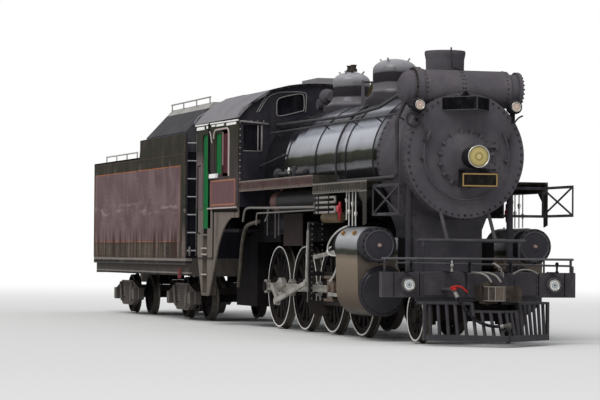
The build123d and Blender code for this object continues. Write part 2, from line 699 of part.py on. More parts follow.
def number_board():
    """Wedge-shaped number box on the smokebox front, its two faces turned outwards."""
    base_x, tip_x, half = smokebox_front + 34, 9946, 386
    wedge = deck_plate([(base_x, -half), (tip_x - 20, -8), (tip_x, 0), (tip_x - 20, 8), (base_x, half)],
                       3580, 3783)
    recess = deck_plate([(base_x, -half + 60), (tip_x - 90, 0), (base_x, half - 60)], 3570, 3640)
    return wedge - recess


def lamps():
    """Headlight, number box, two marker lamps and two beam lamps."""
    drum = bar((smokebox_rear, 0, boiler_z), (smokebox_front + 34, 0, boiler_z), smokebox_radius)
    pieces = [headlight(), number_board()]
    for side in (-1, 1):
        marker = turned([(0, -95), (85, -95), (108, -70), (108, 70), (85, 95), (0, 95)],
                        (smokebox_front + 70, side * 785, 3650), (1, 0, 0))
        y0, y1 = sorted((side * 755, side * 815))
        marker += block(smokebox_front - 40, smokebox_front + 40, y0, y1, 3400, 3600)
        pieces.append(marker - drum)
        beam_lamp = turned([(0, 0), (60, 0), (105, 30), (115, 90), (105, 105), (0, 112)],
                           (beam_front, side * 1170, 908), (1, 0, 0))
        pieces.append(beam_lamp)
    return pieces


# Front braces and rails

def front_braces():
    """Columns, braces down to the step bar, step bar on posts, and the beam's handrail on posts."""
    drum = bar((smokebox_rear, 0, boiler_z), (smokebox_front + 34, 0, boiler_z), smokebox_radius)
    step_x, step_z, rail_x, beam_rail_z = 9740, 1578, beam_front - 60, 1300
    columns = [bar((9200, side * 830, beam_top), (9200, side * 830, 2560), 52) - drum for side in (-1, 1)]
    step = bar((step_x, -880, step_z), (step_x, 880, step_z), 27)
    rail = bar((rail_x, -1545, beam_rail_z), (rail_x, 1545, beam_rail_z), 18)
    for side in (-1, 1):
        brace = bar((step_x, side * 390, step_z), (smokebox_front - 60, side * 390, 2120), 28)
        step += brace
        step += bar((step_x, side * 780, beam_top), (step_x, side * 780, step_z), 20)
        rail += bar((rail_x, side * 1500, beam_top), (rail_x, side * 1500, beam_rail_z), 20)
        rail += bar((rail_x, side * 1060, beam_top), (rail_x, side * 1060, beam_rail_z), 16)
    return [*columns, step - drum, rail]


def ring_handrail():
    """Handrail that follows the smokebox front from one marker lamp down round to the other."""
    x, reach, half_turn = smokebox_front + 96, 690, 122
    points = []
    for turn in (-half_turn, 0, half_turn):
        angle = math.radians(turn)
        points.append((x, reach * math.sin(angle), boiler_z - reach * math.cos(angle)))
    path = ThreePointArc(*points)
    ring = sweep(Plane(origin=path @ 0, z_dir=path % 0) * Circle(17), path=path)
    for turn in (-118, -60, -20, 20, 60, 118):
        angle = math.radians(turn)
        y, z = reach * math.sin(angle), boiler_z - reach * math.cos(angle)
        ring += bar((smokebox_front + 34, y, z), (x, y, z), 11)
    return ring


def bracket_frame(side):
    """Open angle-iron frame with crossed braces that carries the walkway ahead of the running board."""
    x0, x1, z0, z1 = 9130, 10400, 1950, 2430
    y0, y1, width = 1390, 1402, 42
    panel = block(x0, x1, y0, y1, z0, z1)
    panel -= block(x0 + width, x1 - width, y0 - 5, y1 + 5, z0 + width, z1 - width)
    half = 16
    rise = side_plate([(x0 + 20, z0 + 20 - half), (x1 - 20, z1 - 20 - half), (x1 - 20, z1 - 20 + half),
                       (x0 + 20, z0 + 20 + half)], y0, y1)
    fall = side_plate([(x0 + 20, z1 - 20 - half), (x1 - 20, z0 + 20 - half), (x1 - 20, z0 + 20 + half),
                       (x0 + 20, z1 - 20 + half)], y0, y1)
    panel = fuse(panel, rise, fall)
    for z in (z0, z1 - width):
        panel += block(x0, x0 + width, 700, y0 + 5, z, z + width)
    panel -= bar((smokebox_rear, 0, boiler_z), (smokebox_front + 34, 0, boiler_z), smokebox_radius)
    panel -= bar((9200, 830, beam_top), (9200, 830, 2560), 58)
    outer = max(panel.solids(), key=lambda solid: solid.volume)
    return outer if side == 1 else mirrored(outer)


# Cylinders

def cylinder(side):
    """Cylinder and steam chest cast in one with half the saddle, clad in a sheet jacket."""
    y, chest_y, chest_z = main_rod_y, valve_y, 1498
    section = [Line((y - 400, cylinder_z), (chest_y - 290, chest_z)),
               ThreePointArc((chest_y - 290, chest_z), (chest_y, chest_z + 290), (chest_y + 290 - 30, chest_z)),
               Line((chest_y + 260, chest_z), (y + 400, cylinder_z)),
               ThreePointArc((y + 400, cylinder_z), (y, cylinder_z - 400), (y - 400, cylinder_z))]
    face = Plane(origin=(cylinder_rear, 0, 0), x_dir=(0, 1, 0), z_dir=(1, 0, 0)) * make_face(section)
    body = extrude(face, amount=cylinder_front - cylinder_rear, dir=(1, 0, 0))
    head = turned([(0, 0), (395, 0), (395, 35), (370, 50), (345, 50), (330, 66), (120, 80), (0, 84)],
                  (cylinder_front, y, cylinder_z), (1, 0, 0))
    rear_head = turned([(0, 0), (370, 0), (370, 30), (120, 45), (110, 50), (0, 50)],
                       (cylinder_rear, y, cylinder_z), (-1, 0, 0))
    rear_head -= bar((cylinder_rear, y, cylinder_z), (cylinder_rear - 60, y, cylinder_z), 50)
    chest_rear, chest_front = 7600, 9090
    chest = bar((chest_rear, chest_y, chest_z), (chest_front, chest_y, chest_z), 265)
    chest += turned([(0, 0), (278, 0), (278, 26), (250, 40), (60, 46), (0, 46)],
                    (chest_front, chest_y, chest_z), (1, 0, 0))
    port = block(7880, 8600, 560, chest_y, 1150, 1620)
    piece = fuse(body, head, rear_head, chest, port)
    piece -= bar((7500, 0, boiler_z), (9500, 0, boiler_z), smokebox_radius)
    piece -= bar((7500, chest_y, chest_z), (7900, chest_y, chest_z), 31)
    return piece if side == 1 else mirrored(piece)


def saddle():
    """Saddle between the cylinders, hollowed to the smokebox."""
    section = [(-560, 880), (560, 880), (560, 1750), (800, 2350), (-800, 2350), (-560, 1750)]
    piece = cross_plate(section, 7800, 8700)
    piece -= bar((7000, 0, boiler_z), (9500, 0, boiler_z), smokebox_radius)
    piece -= bar((smokebox_rear - 800, 0, boiler_z), (smokebox_rear, 0, boiler_z), boiler_radius + 8)
    return piece


# Cab

def roof_section(shrink):
    """Roof arch in front view: flat crown, round shoulders, as a face down to the eaves."""
    half = cab_half - shrink
    crown = 4440 - shrink
    side_z = eave_z
    bend_y, bend_z, knee_y, knee_z = half - 210, 4040 - shrink * 0.7, 930 - shrink * 0.3, 4300 - shrink
    left = ThreePointArc((half, side_z), (bend_y, bend_z), (knee_y, knee_z))
    top = ThreePointArc((knee_y, knee_z), (0, crown), (-knee_y, knee_z))
    right = ThreePointArc((-knee_y, knee_z), (-bend_y, bend_z), (-half, side_z))
    base = Line((-half, side_z), (half, side_z))
    return make_face([left, top, right, base])


def across(face, x):
    """Stand a face drawn in Y and Z at a place along the machine."""
    return Plane(origin=(x, 0, 0), x_dir=(0, 1, 0), z_dir=(1, 0, 0)) * face


roof_front = cab_front_x + 70
roof_rear = cab_rear_x - 160


def cab_roof():
    """Steel roof sheet, arched, with a raised ventilator hatch."""
    length = roof_front - roof_rear
    shell = extrude(across(roof_section(-22), roof_rear), amount=length, dir=(1, 0, 0))
    shell -= extrude(across(roof_section(0), roof_rear - 10), amount=length + 20, dir=(1, 0, 0))
    shell -= block(-2000, 2500, -1700, 1700, eave_z - 30, eave_z)
    hatch = block(-50, 950, 190, 780, 4200, 4625)
    hatch -= extrude(across(roof_section(0), roof_rear - 10), amount=length + 20, dir=(1, 0, 0))
    return shell + hatch


def cab_side(side):
    """Cab side sheet with its doorway and sliding-window opening."""
    y0, y1 = cab_half - cab_wall, cab_half
    sheet = block(cab_rear_x, cab_front_x, y0, y1, 2195, eave_z)
    sheet -= block(-890, -316, y0 - 50, y1 + 50, 1700, 3500)
    sheet -= bar((-890 + 120, y0 - 50, 3480), (-890 + 120, y1 + 50, 3480), 120)
    sheet -= block(-770, -436, y0 - 50, y1 + 50, 3480, 3600)
    sheet -= bar((-436, y0 - 50, 3480), (-436, y1 + 50, 3480), 120)
    sheet -= block(-16, 1076, y0 - 50, y1 + 50, 2770, 3640)
    sash = block(20, 520, y0 + 8, y0 + 34, 2770, 3640) - block(70, 470, y0 - 50, y1 + 50, 2830, 3580)
    sheet += sash
    sheet += block(-300, 90, y1, y1 + 16, 2745, 2785)
    return sheet if side == 1 else mirrored(sheet)


def cab_front():
    """Cab front wall round the firebox, with a window each side."""
    inner = cab_half - cab_wall
    wall = block(cab_front_x - cab_wall, cab_front_x, -inner, inner, 2195, eave_z)
    wall += extrude(across(roof_section(0), cab_front_x - cab_wall), amount=cab_wall, dir=(1, 0, 0))
    wall -= firebox_shell()
    for side in (-1, 1):
        y0, y1 = sorted((side * 1080, side * 1430))
        wall -= block(cab_front_x - 200, cab_front_x + 100, y0, y1, 3218, 3688)
        upper = [(280, 3985), (800, 3845), (816, 4075), (750, 4188), (415, 4262), (300, 4225)]
        wall -= cross_plate([(side * y, z) for y, z in upper], cab_front_x - 200, cab_front_x + 100)
    return wall


def cab_rear():
    """Cab rear wall with a middle doorway to the tender and two windows."""
    inner = cab_half - cab_wall
    wall = block(cab_rear_x, cab_rear_x + cab_wall, -inner, inner, cab_floor_z, eave_z)
    wall += extrude(across(roof_section(0), cab_rear_x), amount=cab_wall, dir=(1, 0, 0))
    wall -= block(cab_rear_x - 50, cab_rear_x + 100, -360, 360, cab_floor_z - 10, 3600)
    for side in (-1, 1):
        y0, y1 = sorted((side * 620, side * 1200))
        wall -= block(cab_rear_x - 50, cab_rear_x + 100, y0, y1, 2900, 3560)
    return wall


def cab_floor():
    """Cab deck round the firebox, on brackets from the frame, with a seat box each side."""
    inner = cab_half - cab_wall
    deck = block(cab_rear_x, cab_front_x - cab_wall, -inner, inner, cab_floor_z - 60, cab_floor_z)
    deck -= firebox_shell()
    for side in (-1, 1):
        y0, y1 = sorted((side * 500, side * 620))
        deck += block(cab_rear_x + 140, cab_rear_x + 420, y0, y1, 1160, cab_floor_z - 60)
        y0, y1 = sorted((side * 1060, side * 1440))
        deck += block(250, 850, y0, y1, cab_floor_z, cab_floor_z + 650)
    return deck


def apron(side):
    """Sheet under the cab with a curved front edge and a slot with four ladder rungs."""
    y0, y1 = cab_half - cab_wall, cab_half - 18
    curve = [Polyline((-1290, 2195), (1660, 2195), (1660, 2005), (1197, 2005)),
             ThreePointArc((1197, 2005), (640, 1800), (158, 1340)),
             Polyline((158, 1340), (-414, 548), (-943, 548), (-1290, 1340), (-1290, 2195))]
    face = Plane(origin=(0, y0, 0), x_dir=(1, 0, 0), z_dir=(0, -1, 0)) * make_face(curve)
    sheet = extrude(face, amount=y1 - y0, dir=(0, 1, 0))
    sheet -= block(-896, -539, y0 - 50, y1 + 50, 600, 1820)
    sheet -= block(-890, -316, y0 - 50, y1 + 50, 1820, 2300)
    for z in (590, 935, 1310, 1700):
        sheet += block(-920, -515, y0 - 150, y1 + 8, z - 14, z + 14)
    for x in (-915, -520):
        sheet += block(x - 12, x + 12, y0 - 150, y0 + 5, 560, cab_floor_z - 60)
    return sheet if side == 1 else mirrored(sheet)


# Running boards and what hangs under them

def running_board(side):
    """Walkway plate with a deep valance, in a high and a low length, stepped down over the cylinder."""
    y_in, y_out = 1040, 1500
    plate = block(cab_front_x, board_step_x, y_in, y_out, board_high_z - 16, board_high_z)
    plate += block(board_step_x - 16, board_step_x, y_in, y_out, board_low_z - 16, board_high_z)
    plate += block(board_step_x - 16, board_front_x, y_in, y_out, board_low_z - 16, board_low_z)
    plate += block(cab_front_x, board_step_x, y_out - 14, y_out, board_high_z - 190, board_high_z)
    plate += block(board_step_x - 16, board_front_x, y_out - 14, y_out, board_low_z - 175, board_low_z)
    drop_x = board_front_x + 60
    drop = [(drop_x - 390, board_low_z - 175), (board_front_x, board_low_z), (drop_x, board_low_z),
            (drop_x, 1830), (drop_x - 150, 1800), (drop_x - 170, 2160)]
    plate += side_plate(drop, y_out - 14, y_out)
    for x in (2200, 3300, 4400, 5500, 7000, 8000):
        z = board_high_z if x < board_step_x else board_low_z
        reach = 960 if x < smokebox_rear else 900
        plate += block(x - 20, x + 20, reach - 60, y_out - 14, z - 90, z - 16)
    plate -= boiler_shell() + boiler_barrel()
    plate -= bar((smokebox_rear, 0, boiler_z), (smokebox_front, 0, boiler_z), smokebox_radius)
    return plate if side == 1 else mirrored(plate)


def air_reservoir(side):
    """Main air reservoir slung under the running board, with a small tank strapped below its front end."""
    drum = turned([(0, 0), (120, 0), (175, 35), (190, 85), (190, 3475), (175, 3525), (120, 3560), (0, 3560)],
                  (3220, 1190, 2260), (1, 0, 0))
    for x in (3500, 6100):
        drum += block(x - 40, x + 40, 1150, 1230, 2400, board_high_z - 16)
    tank = turned([(0, 0), (65, 0), (90, 22), (90, 878), (65, 900), (0, 900)], (6040, 1200, 1956), (1, 0, 0))
    for x in (6200, 6700):
        tank += block(x - 15, x + 15, 1180, 1220, 2030, 2090)
    piece = fuse(drum, tank)
    return piece if side == 1 else mirrored(piece)


def cooling_pipes():
    """Long air-cooling pipes with return bends, outside the right reservoir."""
    y, x_rear, x_front = -1466, 6320, 7430
    rows = (2030, 2110, 2190, 2270)
    coil = None
    for z in rows:
        run = bar((x_rear, y, z), (x_front, y, z), 20)
        coil = run if coil is None else coil + run
    for x, low, high in ((x_front, rows[0], rows[1]), (x_rear, rows[1], rows[2]), (x_front, rows[2], rows[3])):
        coil += bar((x, y, low), (x, y, high), 20)
    return coil


def brake_gear(side):
    """Brake shoe and its hanger behind each driving wheel, and the pull rod that joins them."""
    y = side * 750
    pieces = []
    for x in driver_x[:3]:
        outer = bar((x, side * 700, driver_z), (x, side * 800, driver_z), driver_radius + 78)
        inner = bar((x, side * 690, driver_z), (x, side * 810, driver_z), driver_radius + flange + 9)
        window = block(x - 830, x - 700, y - 60, y + 60, driver_z - 190, driver_z + 150)
        shoe = (outer - inner) & window
        hanger = block(x - 822, x - 790, y - 22, y + 22, driver_z - 60, driver_z + 300)
        pin = bar((x - 806, frame_out * side, driver_z + 285), (x - 806, y + side * 30, driver_z + 285), 24)
        pieces.append(fuse(shoe, hanger, pin))
    return pieces


def air_pump():
    """Cross-compound air pump on the boiler's left side."""
    y = 1290
    pump = bar((7300, y, 1960), (7300, y, 2260), 165) + bar((7300, y, 2300), (7300, y, 2420), 120)
    pump += bar((7300, y, 2240), (7300, y, 2320), 60)
    return pump


def ash_pan():
    """Ash pan under the mud ring: sloping over the last drivers and dropping to a hopper behind them."""
    outline = [(-250, 384), (1180, 384), (1180, 1560), (2700, 1560), (2700, mud_ring_z),
               (backhead_x, mud_ring_z), (420, 1640), (-250, 900)]
    pan = side_plate(outline, -1000, 1000)
    for side in (-1, 1):
        y0, y1 = sorted((side * 500, side * 620))
        pan -= block(-1200, 3000, y0, y1, 500, 1160)
    pan -= block(700, 1000, -500, 500, 900, 1140)
    return pan


def splash_plate():
    """Left sheet on the firebox side, over the main drivers."""
    return block(2984, 4145, firebox_half, firebox_half + 15, 1493, 2058)


# Leading truck

truck_pivot_x = 8050


def pilot_truck():
    """Leading truck frame: axle boxes, cross beam and a radius bar back to its pivot."""
    z = rail_top + pilot_wheel_radius
    piece = None
    for side in (-1, 1):
        y0, y1 = sorted((side * 540, side * 630))
        cheek = block(pilot_wheel_x - 160, pilot_wheel_x + 160, y0, y1, z - 130, z + 200)
        piece = cheek if piece is None else piece + cheek
    piece += block(pilot_wheel_x - 160, pilot_wheel_x - 100, -540, 540, z - 60, z + 180)
    piece += block(pilot_wheel_x + 100, pilot_wheel_x + 160, -540, 540, z - 60, z + 180)
    piece += block(pilot_wheel_x - 160, pilot_wheel_x + 160, -150, 150, z + 150, z + 200)
    arm = deck_plate([(truck_pivot_x - 60, -70), (truck_pivot_x + 300, -90), (pilot_wheel_x - 150, -520),
                      (pilot_wheel_x - 150, 520), (truck_pivot_x + 300, 90), (truck_pivot_x - 60, 70)],
                     z - 50, z + 50)
    arm -= deck_plate([(truck_pivot_x + 480, 0), (pilot_wheel_x - 250, -400), (pilot_wheel_x - 250, 400)],
                      z - 80, z + 80)
    piece += arm
    piece -= bar((pilot_wheel_x, -700, z), (pilot_wheel_x, 700, z), 84)
    piece -= bar((truck_pivot_x, 0, z - 200), (truck_pivot_x, 0, z + 200), 46)
    return piece


def truck_pivot():
    """Pivot casting under the saddle with the radius bar's pin."""
    z = rail_top + pilot_wheel_radius
    pin = bar((truck_pivot_x, 0, z - 75), (truck_pivot_x, 0, 880), 45)
    return fuse(bar((truck_pivot_x, 0, z + 60), (truck_pivot_x, 0, 880), 120), pin,
                bar((truck_pivot_x, 0, z - 85), (truck_pivot_x, 0, z - 60), 80))


# Tender

def tender_frame():
    """Tender underframe: floor on side sills, centre sill, end beams and bolsters."""
    floor_bottom, sill_bottom, beam_depth = 1118, 908, 60
    half = tender_half - 10
    floor = block(tender_rear - 20, tender_front + 20, -half, half, floor_bottom, tank_bottom)
    inner_rear, inner_front = tender_rear + beam_depth, tender_front - beam_depth
    sill = block(inner_rear, inner_front, 1400, 1460, sill_bottom, floor_bottom)
    pieces = [floor, sill, mirrored(sill), block(inner_rear, inner_front, -260, 260, 900, floor_bottom)]
    for x0, x1 in ((tender_rear - 20, inner_rear), (inner_front, tender_front + 20)):
        pieces.append(block(x0, x1, -1460, 1460, 900, floor_bottom))
    for x in truck_x:
        bolster = block(x - 180, x + 180, 260, 1200, 960, floor_bottom)
        pieces += [bolster, mirrored(bolster)]
    return pieces


def tender_drawgear():
    """Drawbar to the engine, centre plates over the trucks and the draft box for the rear coupler."""
    drawbar = deck_plate([(tender_front + 20, -90), (drawbar_x, -60), (drawbar_x, 60), (tender_front + 20, 90)],
                         960, 1040)
    drawbar += bar((drawbar_x, 0, 960), (drawbar_x, 0, 1040), 130)
    drawbar -= bar((drawbar_x, 0, 900), (drawbar_x, 0, 1100), 51)
    plates = [bar((x, 0, 760), (x, 0, 900), 170) for x in truck_x]
    draft_box = block(tender_rear - 20, tender_rear + 620, -150, 150, 640, 900)
    return [drawbar, *plates, draft_box]


drawbar_x = -900


def drawbar_pin():
    """Drawbar pin and its pocket in the engine frame's rear casting."""
    return bar((drawbar_x, 0, 880), (drawbar_x, 0, 1180), 50)


def tender_tank():
    """Water tank with raised front wings and a recessed front bulkhead; solid, as it shows no inside."""
    tank = block(tender_rear, tender_front, -tender_half, tender_half, tank_bottom, tank_top)
    tank += block(wing_end, tender_front, -tender_half, tender_half, tank_top, wing_top)
    inner = tender_half - 30
    tank -= block(wing_end - 10, tender_front + 10, -inner, inner, tank_top, wing_top + 10)
    step = [(wing_end - 60, tank_top), (wing_end + 60, wing_top), (wing_end + 60, tank_top)]
    for y in (-tender_half, inner):
        tank += side_plate(step, y, y + 30)
    neck = bar((hatch_x, 0, tank_top), (hatch_x, 0, tank_top + 90), 260)
    tank += neck
    return tank - bar((hatch_x, 0, tank_top - 60), (hatch_x, 0, tank_top + 100), 230)


hatch_x = -9900


def hatch_lid():
    """Water hatch lid hinged at its rear edge."""
    z = tank_top + 96
    lid = turned([(0, 0), (275, 0), (275, 14), (200, 40), (0, 52)], (hatch_x, 0, z), (0, 0, 1))
    lid += block(hatch_x - 330, hatch_x - 240, -60, 60, z, z + 24)
    lid += bar((hatch_x - 330, -80, z + 12), (hatch_x - 330, 80, z + 12), 14)
    return lid


def oil_bunker():
    """Oil bunker on the tank deck: sloped sides, flat top with a filler, and a rail each side."""
    low, high, half_low, half_high = tank_top, 4400, 1180, 620
    section = [(-half_low, low), (-half_low, 3800), (-half_high, high), (half_high, high), (half_low, 3800),
               (half_low, low)]
    bunker = cross_plate(section, -7060, -3560)
    bunker += bar((-5000, 0, high), (-5000, 0, high + 70), 230)
    for side in (-1, 1):
        y = side * (half_high + 40)
        for x in (-6900, -5900, -4800, -3700):
            bunker += bar((x, y, high - 120), (x, y, 4520), 14)
        bunker += bar((-6950, y, 4505), (-3650, y, 4505), 16)
    return bunker


def tender_rails():
    """Ladder and grab rails on the tender's front and rear faces and the rear deck rails."""
    pieces = []
    for side in (-1, 1):
        ladder = None
        for y in (side * 1320, side * 1525):
            post = bar((tender_front + 60, y, 1300), (tender_front + 60, y, 3680), 14)
            ladder = post if ladder is None else ladder + post
        for step in range(7):
            z = 1400 + 350 * step
            ladder += bar((tender_front + 60, side * 1320, z), (tender_front + 60, side * 1525, z), 12)
        for z in (1400, 3500):
            ladder += bar((tender_front, side * 1420, z), (tender_front + 60, side * 1420, z), 14)
        pieces.append(ladder)
        rail = bar((-10500, side * 1300, 3500), (-7400, side * 1300, 3500), 16)
        for x in (-10480, -9450, -8420, -7420):
            rail += bar((x, side * 1300, tank_top), (x, side * 1300, 3500), 14)
        pieces.append(rail)
    return pieces


def tender_truck(x):
    """Four-wheel truck: cast side frames with journal boxes, bolster and springs."""
    z = rail_top + tender_wheel_radius
    side = None
    for mirror_side in (-1, 1):
        outline = [(x - 1075, z - 110), (x - 1075, z + 130), (x - 520, z + 290), (x + 520, z + 290),
                   (x + 1075, z + 130), (x + 1075, z - 110), (x + 700, z - 110), (x + 420, z - 235),
                   (x - 420, z - 235), (x - 700, z - 110)]
        y0, y1 = sorted((mirror_side * 990, mirror_side * 1110))
        plate = side_plate(outline, y0, y1)
        plate -= block(x - 620, x - 250, -1200, 1200, z - 90, z + 150)
        plate -= block(x + 250, x + 620, -1200, 1200, z - 90, z + 150)
        for box_x in (x - truck_half_base, x + truck_half_base):
            y0, y1 = sorted((mirror_side * 985, mirror_side * 1190))
            plate += block(box_x - 115, box_x + 115, y0, y1, z - 125, z + 125)
            plate -= bar((box_x, mirror_side * 900, z), (box_x, mirror_side * 1115, z), 72)
        side = plate if side is None else side + plate
    side += block(x - 170, x + 170, -990, 990, z - 60, z + 200)
    side += bar((x, 0, z + 200), (x, 0, 755), 150)
    return side


# Hoses

hose_radius = 24
hose_points = [(10662, -592, 792), (10755, -574, 699), (10826, -522, 590), (10905, -463, 485),
               (10992, -391, 398), (11083, -306, 343), (11168, -224, 317), (11238, -145, 309),
               (11284, -56, 318)]


def run_radii(points):
    """The largest bend that each corner's two runs allow."""
    radii = []
    for before, corner, after in zip(points, points[1:], points[2:]):
        first = Vector(*corner) - Vector(*before)
        second = Vector(*after) - Vector(*corner)
        turn = math.radians(first.get_angle(second))
        radii.append(0.45 * min(first.length, second.length) / math.tan(turn / 2))
    return radii


def hose(points, radius):
    """A hanging hose: straight runs joined by tangent arcs."""
    radii = run_radii(points)
    print("hose bend radii", [round(value) for value in radii])
    path = FilletPolyline(*points, radius=radii)
    tube = sweep(Plane(origin=path @ 0, z_dir=path % 0) * Circle(radius), path=path)
    straight = math.pi * radius ** 2 * path.length
    print("hose length", round(path.length), "volume ratio", round(tube.volume / straight, 4))
    return tube


def hose_fitting():
    """Cast coupling head on the hose's free end."""
    end, before = Vector(*hose_points[-1]), Vector(*hose_points[-2])
    along = (end - before).normalized()
    sleeve = bar(tuple(end), tuple(end + along * 60), 31)
    head = bar(tuple(end + along * 55), tuple(end + along * 105), 44)
    return sleeve + head


# Write the nodes

os.makedirs("parts", exist_ok=True)
side_bar = frame_bar()
stays = frame_stays()
save("frame", side_bar, mirrored(side_bar), *driving_boxes())
save("frame_stays", *stays, truck_pivot())
engine_frame = fuse(side_bar, mirrored(side_bar), *stays)
save("cylinder_saddle", saddle() - engine_frame)
save("cylinders", cylinder(-1) - saddle() - engine_frame, cylinder(1) - saddle() - engine_frame)
save("smokebox", smokebox())
save("stack", stack() - feedwater_heater())
save("feedwater_heater", feedwater_heater())
save("boiler_barrel", boiler_barrel())
barrel_space = bar((barrel_rear, 0, boiler_z), (barrel_rear + 500, 0, boiler_z), boiler_radius + 8)
save("firebox", firebox_shell() - barrel_space)
save("domes", dome(*rear_dome), dome(*front_dome))
save("safety_valves", *safety_valves())
save("boiler_fittings", turret(), *bell_harp())
save("bell", bell())
save("ash_pan", ash_pan(), splash_plate(), mirrored(splash_plate()))
save("cab_front", cab_front())
save("cab_sides", cab_side(-1), cab_side(1))
save("cab_rear", cab_rear())
save("cab_roof", cab_roof())
save("cab_floor", cab_floor() - apron(-1) - apron(1))
save("aprons", apron(-1), apron(1))
save("running_boards", running_board(-1), running_board(1))
save("air_reservoirs", air_reservoir(-1), air_reservoir(1))
handrail, sand = boiler_handrail(), sand_pipe() - running_board(1)
steam_pipe, drain_pipe = heater_pipes()
save("pipes", handrail, mirrored(handrail), sand, mirrored(sand), steam_pipe - cab_front(), drain_pipe,
     reach_rod() - cab_front(), cooling_pipes())
save("brake_gear", *brake_gear(-1), *brake_gear(1))
save("air_pump", air_pump())
yoke = guide_yoke()
save("guide_yoke", yoke, *guide_bars(-1), *guide_bars(1))
save("crossheads", crosshead(-1), crosshead(1))
save("main_rods", main_rod(-1), main_rod(1))
save("valve_gear", valve_gear(-1) - yoke, valve_gear(1) - yoke)
coupler = coupler_body()
air_hose = hose(hose_points, hose_radius)
save("pilot_beam", pilot_beam() - coupler - air_hose, front_deck())
save("pilot", *[piece - coupler - hose_fitting() for piece in pilot()])
save("coupler_front", coupler)
save("knuckle_front", knuckle())
door = smokebox_door()
save("smokebox_door", door)
save("lamps", *[lamp - door for lamp in lamps()])
save("front_braces", *front_braces(), ring_handrail(), bracket_frame(-1), bracket_frame(1))
for position in range(1, 5):
    save(f"axle_{position}", *driving_wheelset(position - 1))
save("side_rods_right", side_rods(-1))
save("side_rods_left", side_rods(1))
save("pilot_truck", pilot_truck())
save("pilot_wheels", *pilot_wheelset())
rear_coupler = turned_round(coupler)
save("tender_frame", *[piece - rear_coupler for piece in tender_frame()])
save("tender_drawgear", *[piece - rear_coupler for piece in tender_drawgear()])
save("tender_tank", tender_tank())
save("oil_bunker", oil_bunker())
save("tender_rails", *tender_rails())
save("hatch_lid", hatch_lid())
wheelset = 0
for name, x in zip(("front", "rear"), truck_x):
    save(f"tender_truck_{name}", tender_truck(x))
    for shift in (truck_half_base, -truck_half_base):
        wheelset += 1
        save(f"tender_wheels_{wheelset}", *tender_wheelset(x + shift))
save("coupler_rear", rear_coupler)
save("knuckle_rear", turned_round(knuckle()))
save("air_hose", air_hose)
save("hose_fitting", hose_fitting())
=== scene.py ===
import bmesh
import bpy
import math
from mathutils import Matrix, Quaternion, Vector


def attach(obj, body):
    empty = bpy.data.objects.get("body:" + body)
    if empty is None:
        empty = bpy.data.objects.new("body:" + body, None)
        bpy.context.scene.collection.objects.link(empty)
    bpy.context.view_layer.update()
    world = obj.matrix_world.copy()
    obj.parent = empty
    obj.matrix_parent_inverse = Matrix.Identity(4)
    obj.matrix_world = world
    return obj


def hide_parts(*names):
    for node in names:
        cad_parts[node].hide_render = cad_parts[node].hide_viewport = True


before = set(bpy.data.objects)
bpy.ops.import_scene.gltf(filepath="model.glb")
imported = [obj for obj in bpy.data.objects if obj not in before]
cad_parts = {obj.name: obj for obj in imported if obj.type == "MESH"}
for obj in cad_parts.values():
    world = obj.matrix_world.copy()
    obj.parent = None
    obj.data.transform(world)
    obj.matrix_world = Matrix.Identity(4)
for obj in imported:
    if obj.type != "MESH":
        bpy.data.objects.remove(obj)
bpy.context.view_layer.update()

scene = bpy.context.scene
scene.view_settings.view_transform = "Standard"


# Camera and studio
# The camera stands low on the locomotive's right, far off the front, as a long lens does.
# A pale floor runs out into a white surround, lit by an even sky and one broad lamp.

def placed(name, data):
    """A new object in the scene."""
    thing = bpy.data.objects.new(name, data)
    scene.collection.objects.link(thing)
    return thing


camera_data = bpy.data.cameras.new("camera")
camera_data.lens, camera_data.sensor_width = 155.62, 36
camera_data.clip_end = 400
camera = placed("camera", camera_data)
scene.camera = camera
yaw, pitch, roll = math.radians(16.535), math.radians(1.166), math.radians(0.449)
sight = Vector((-math.cos(yaw) * math.cos(pitch), math.sin(yaw) * math.cos(pitch), math.sin(pitch)))
camera.location = (46.98430566, -13.79548341, 1.37342909)
camera.rotation_euler = (sight.to_track_quat("-Z", "Y") @ Quaternion((0, 0, 1), roll)).to_euler()


def linear(code):
    """A colour as the shaders take it, from its everyday six-digit code."""
    parts = [int(code[k:k + 2], 16) / 255 for k in (0, 2, 4)]
    return (*[p / 12.92 if p <= 0.04045 else ((p + 0.055) / 1.055) ** 2.4 for p in parts], 1)


def feed(tree, node, links):
    """Links a node's inputs, or gives them a value, by name or place."""
    for socket, source in links.items():
        if isinstance(source, bpy.types.NodeSocket):
            tree.links.new(source, node.inputs[socket])
        else:
            node.inputs[socket].default_value = source


def add(tree, kind, links=(), **values):
    """A node with its properties set and its inputs fed."""
    node = tree.nodes.new(kind)
    for key, value in values.items():
        setattr(node, key, value)
    feed(tree, node, dict(links))
    return node


def maths(tree, operation, *values, **more):
    """The result of one sum on numbers or outputs."""
    return add(tree, "ShaderNodeMath", dict(enumerate(values)), operation=operation, **more).outputs[0]


def ranged(tree, value, low, high, to_low=0, to_high=1, curve="LINEAR"):
    """A value carried from one range into another, and held at its ends."""
    limits = {"Value": value, "From Min": low, "From Max": high, "To Min": to_low, "To Max": to_high}
    return add(tree, "ShaderNodeMapRange", limits, interpolation_type=curve).outputs[0]


def own_place(tree):
    """Where a point lies on the locomotive."""
    return add(tree, "ShaderNodeTexCoord").outputs["Object"]


def seen_rays(tree):
    """One for the rays that show the surround: from the camera, off gloss or through glass."""
    path = add(tree, "ShaderNodeLightPath").outputs
    first = maths(tree, "MAXIMUM", path["Is Camera Ray"], path["Is Glossy Ray"])
    return maths(tree, "MAXIMUM", first, path["Is Transmission Ray"])


def cleared(owner):
    """The emptied node tree of a world or a material."""
    owner.use_nodes = True
    owner.node_tree.nodes.clear()
    return owner.node_tree


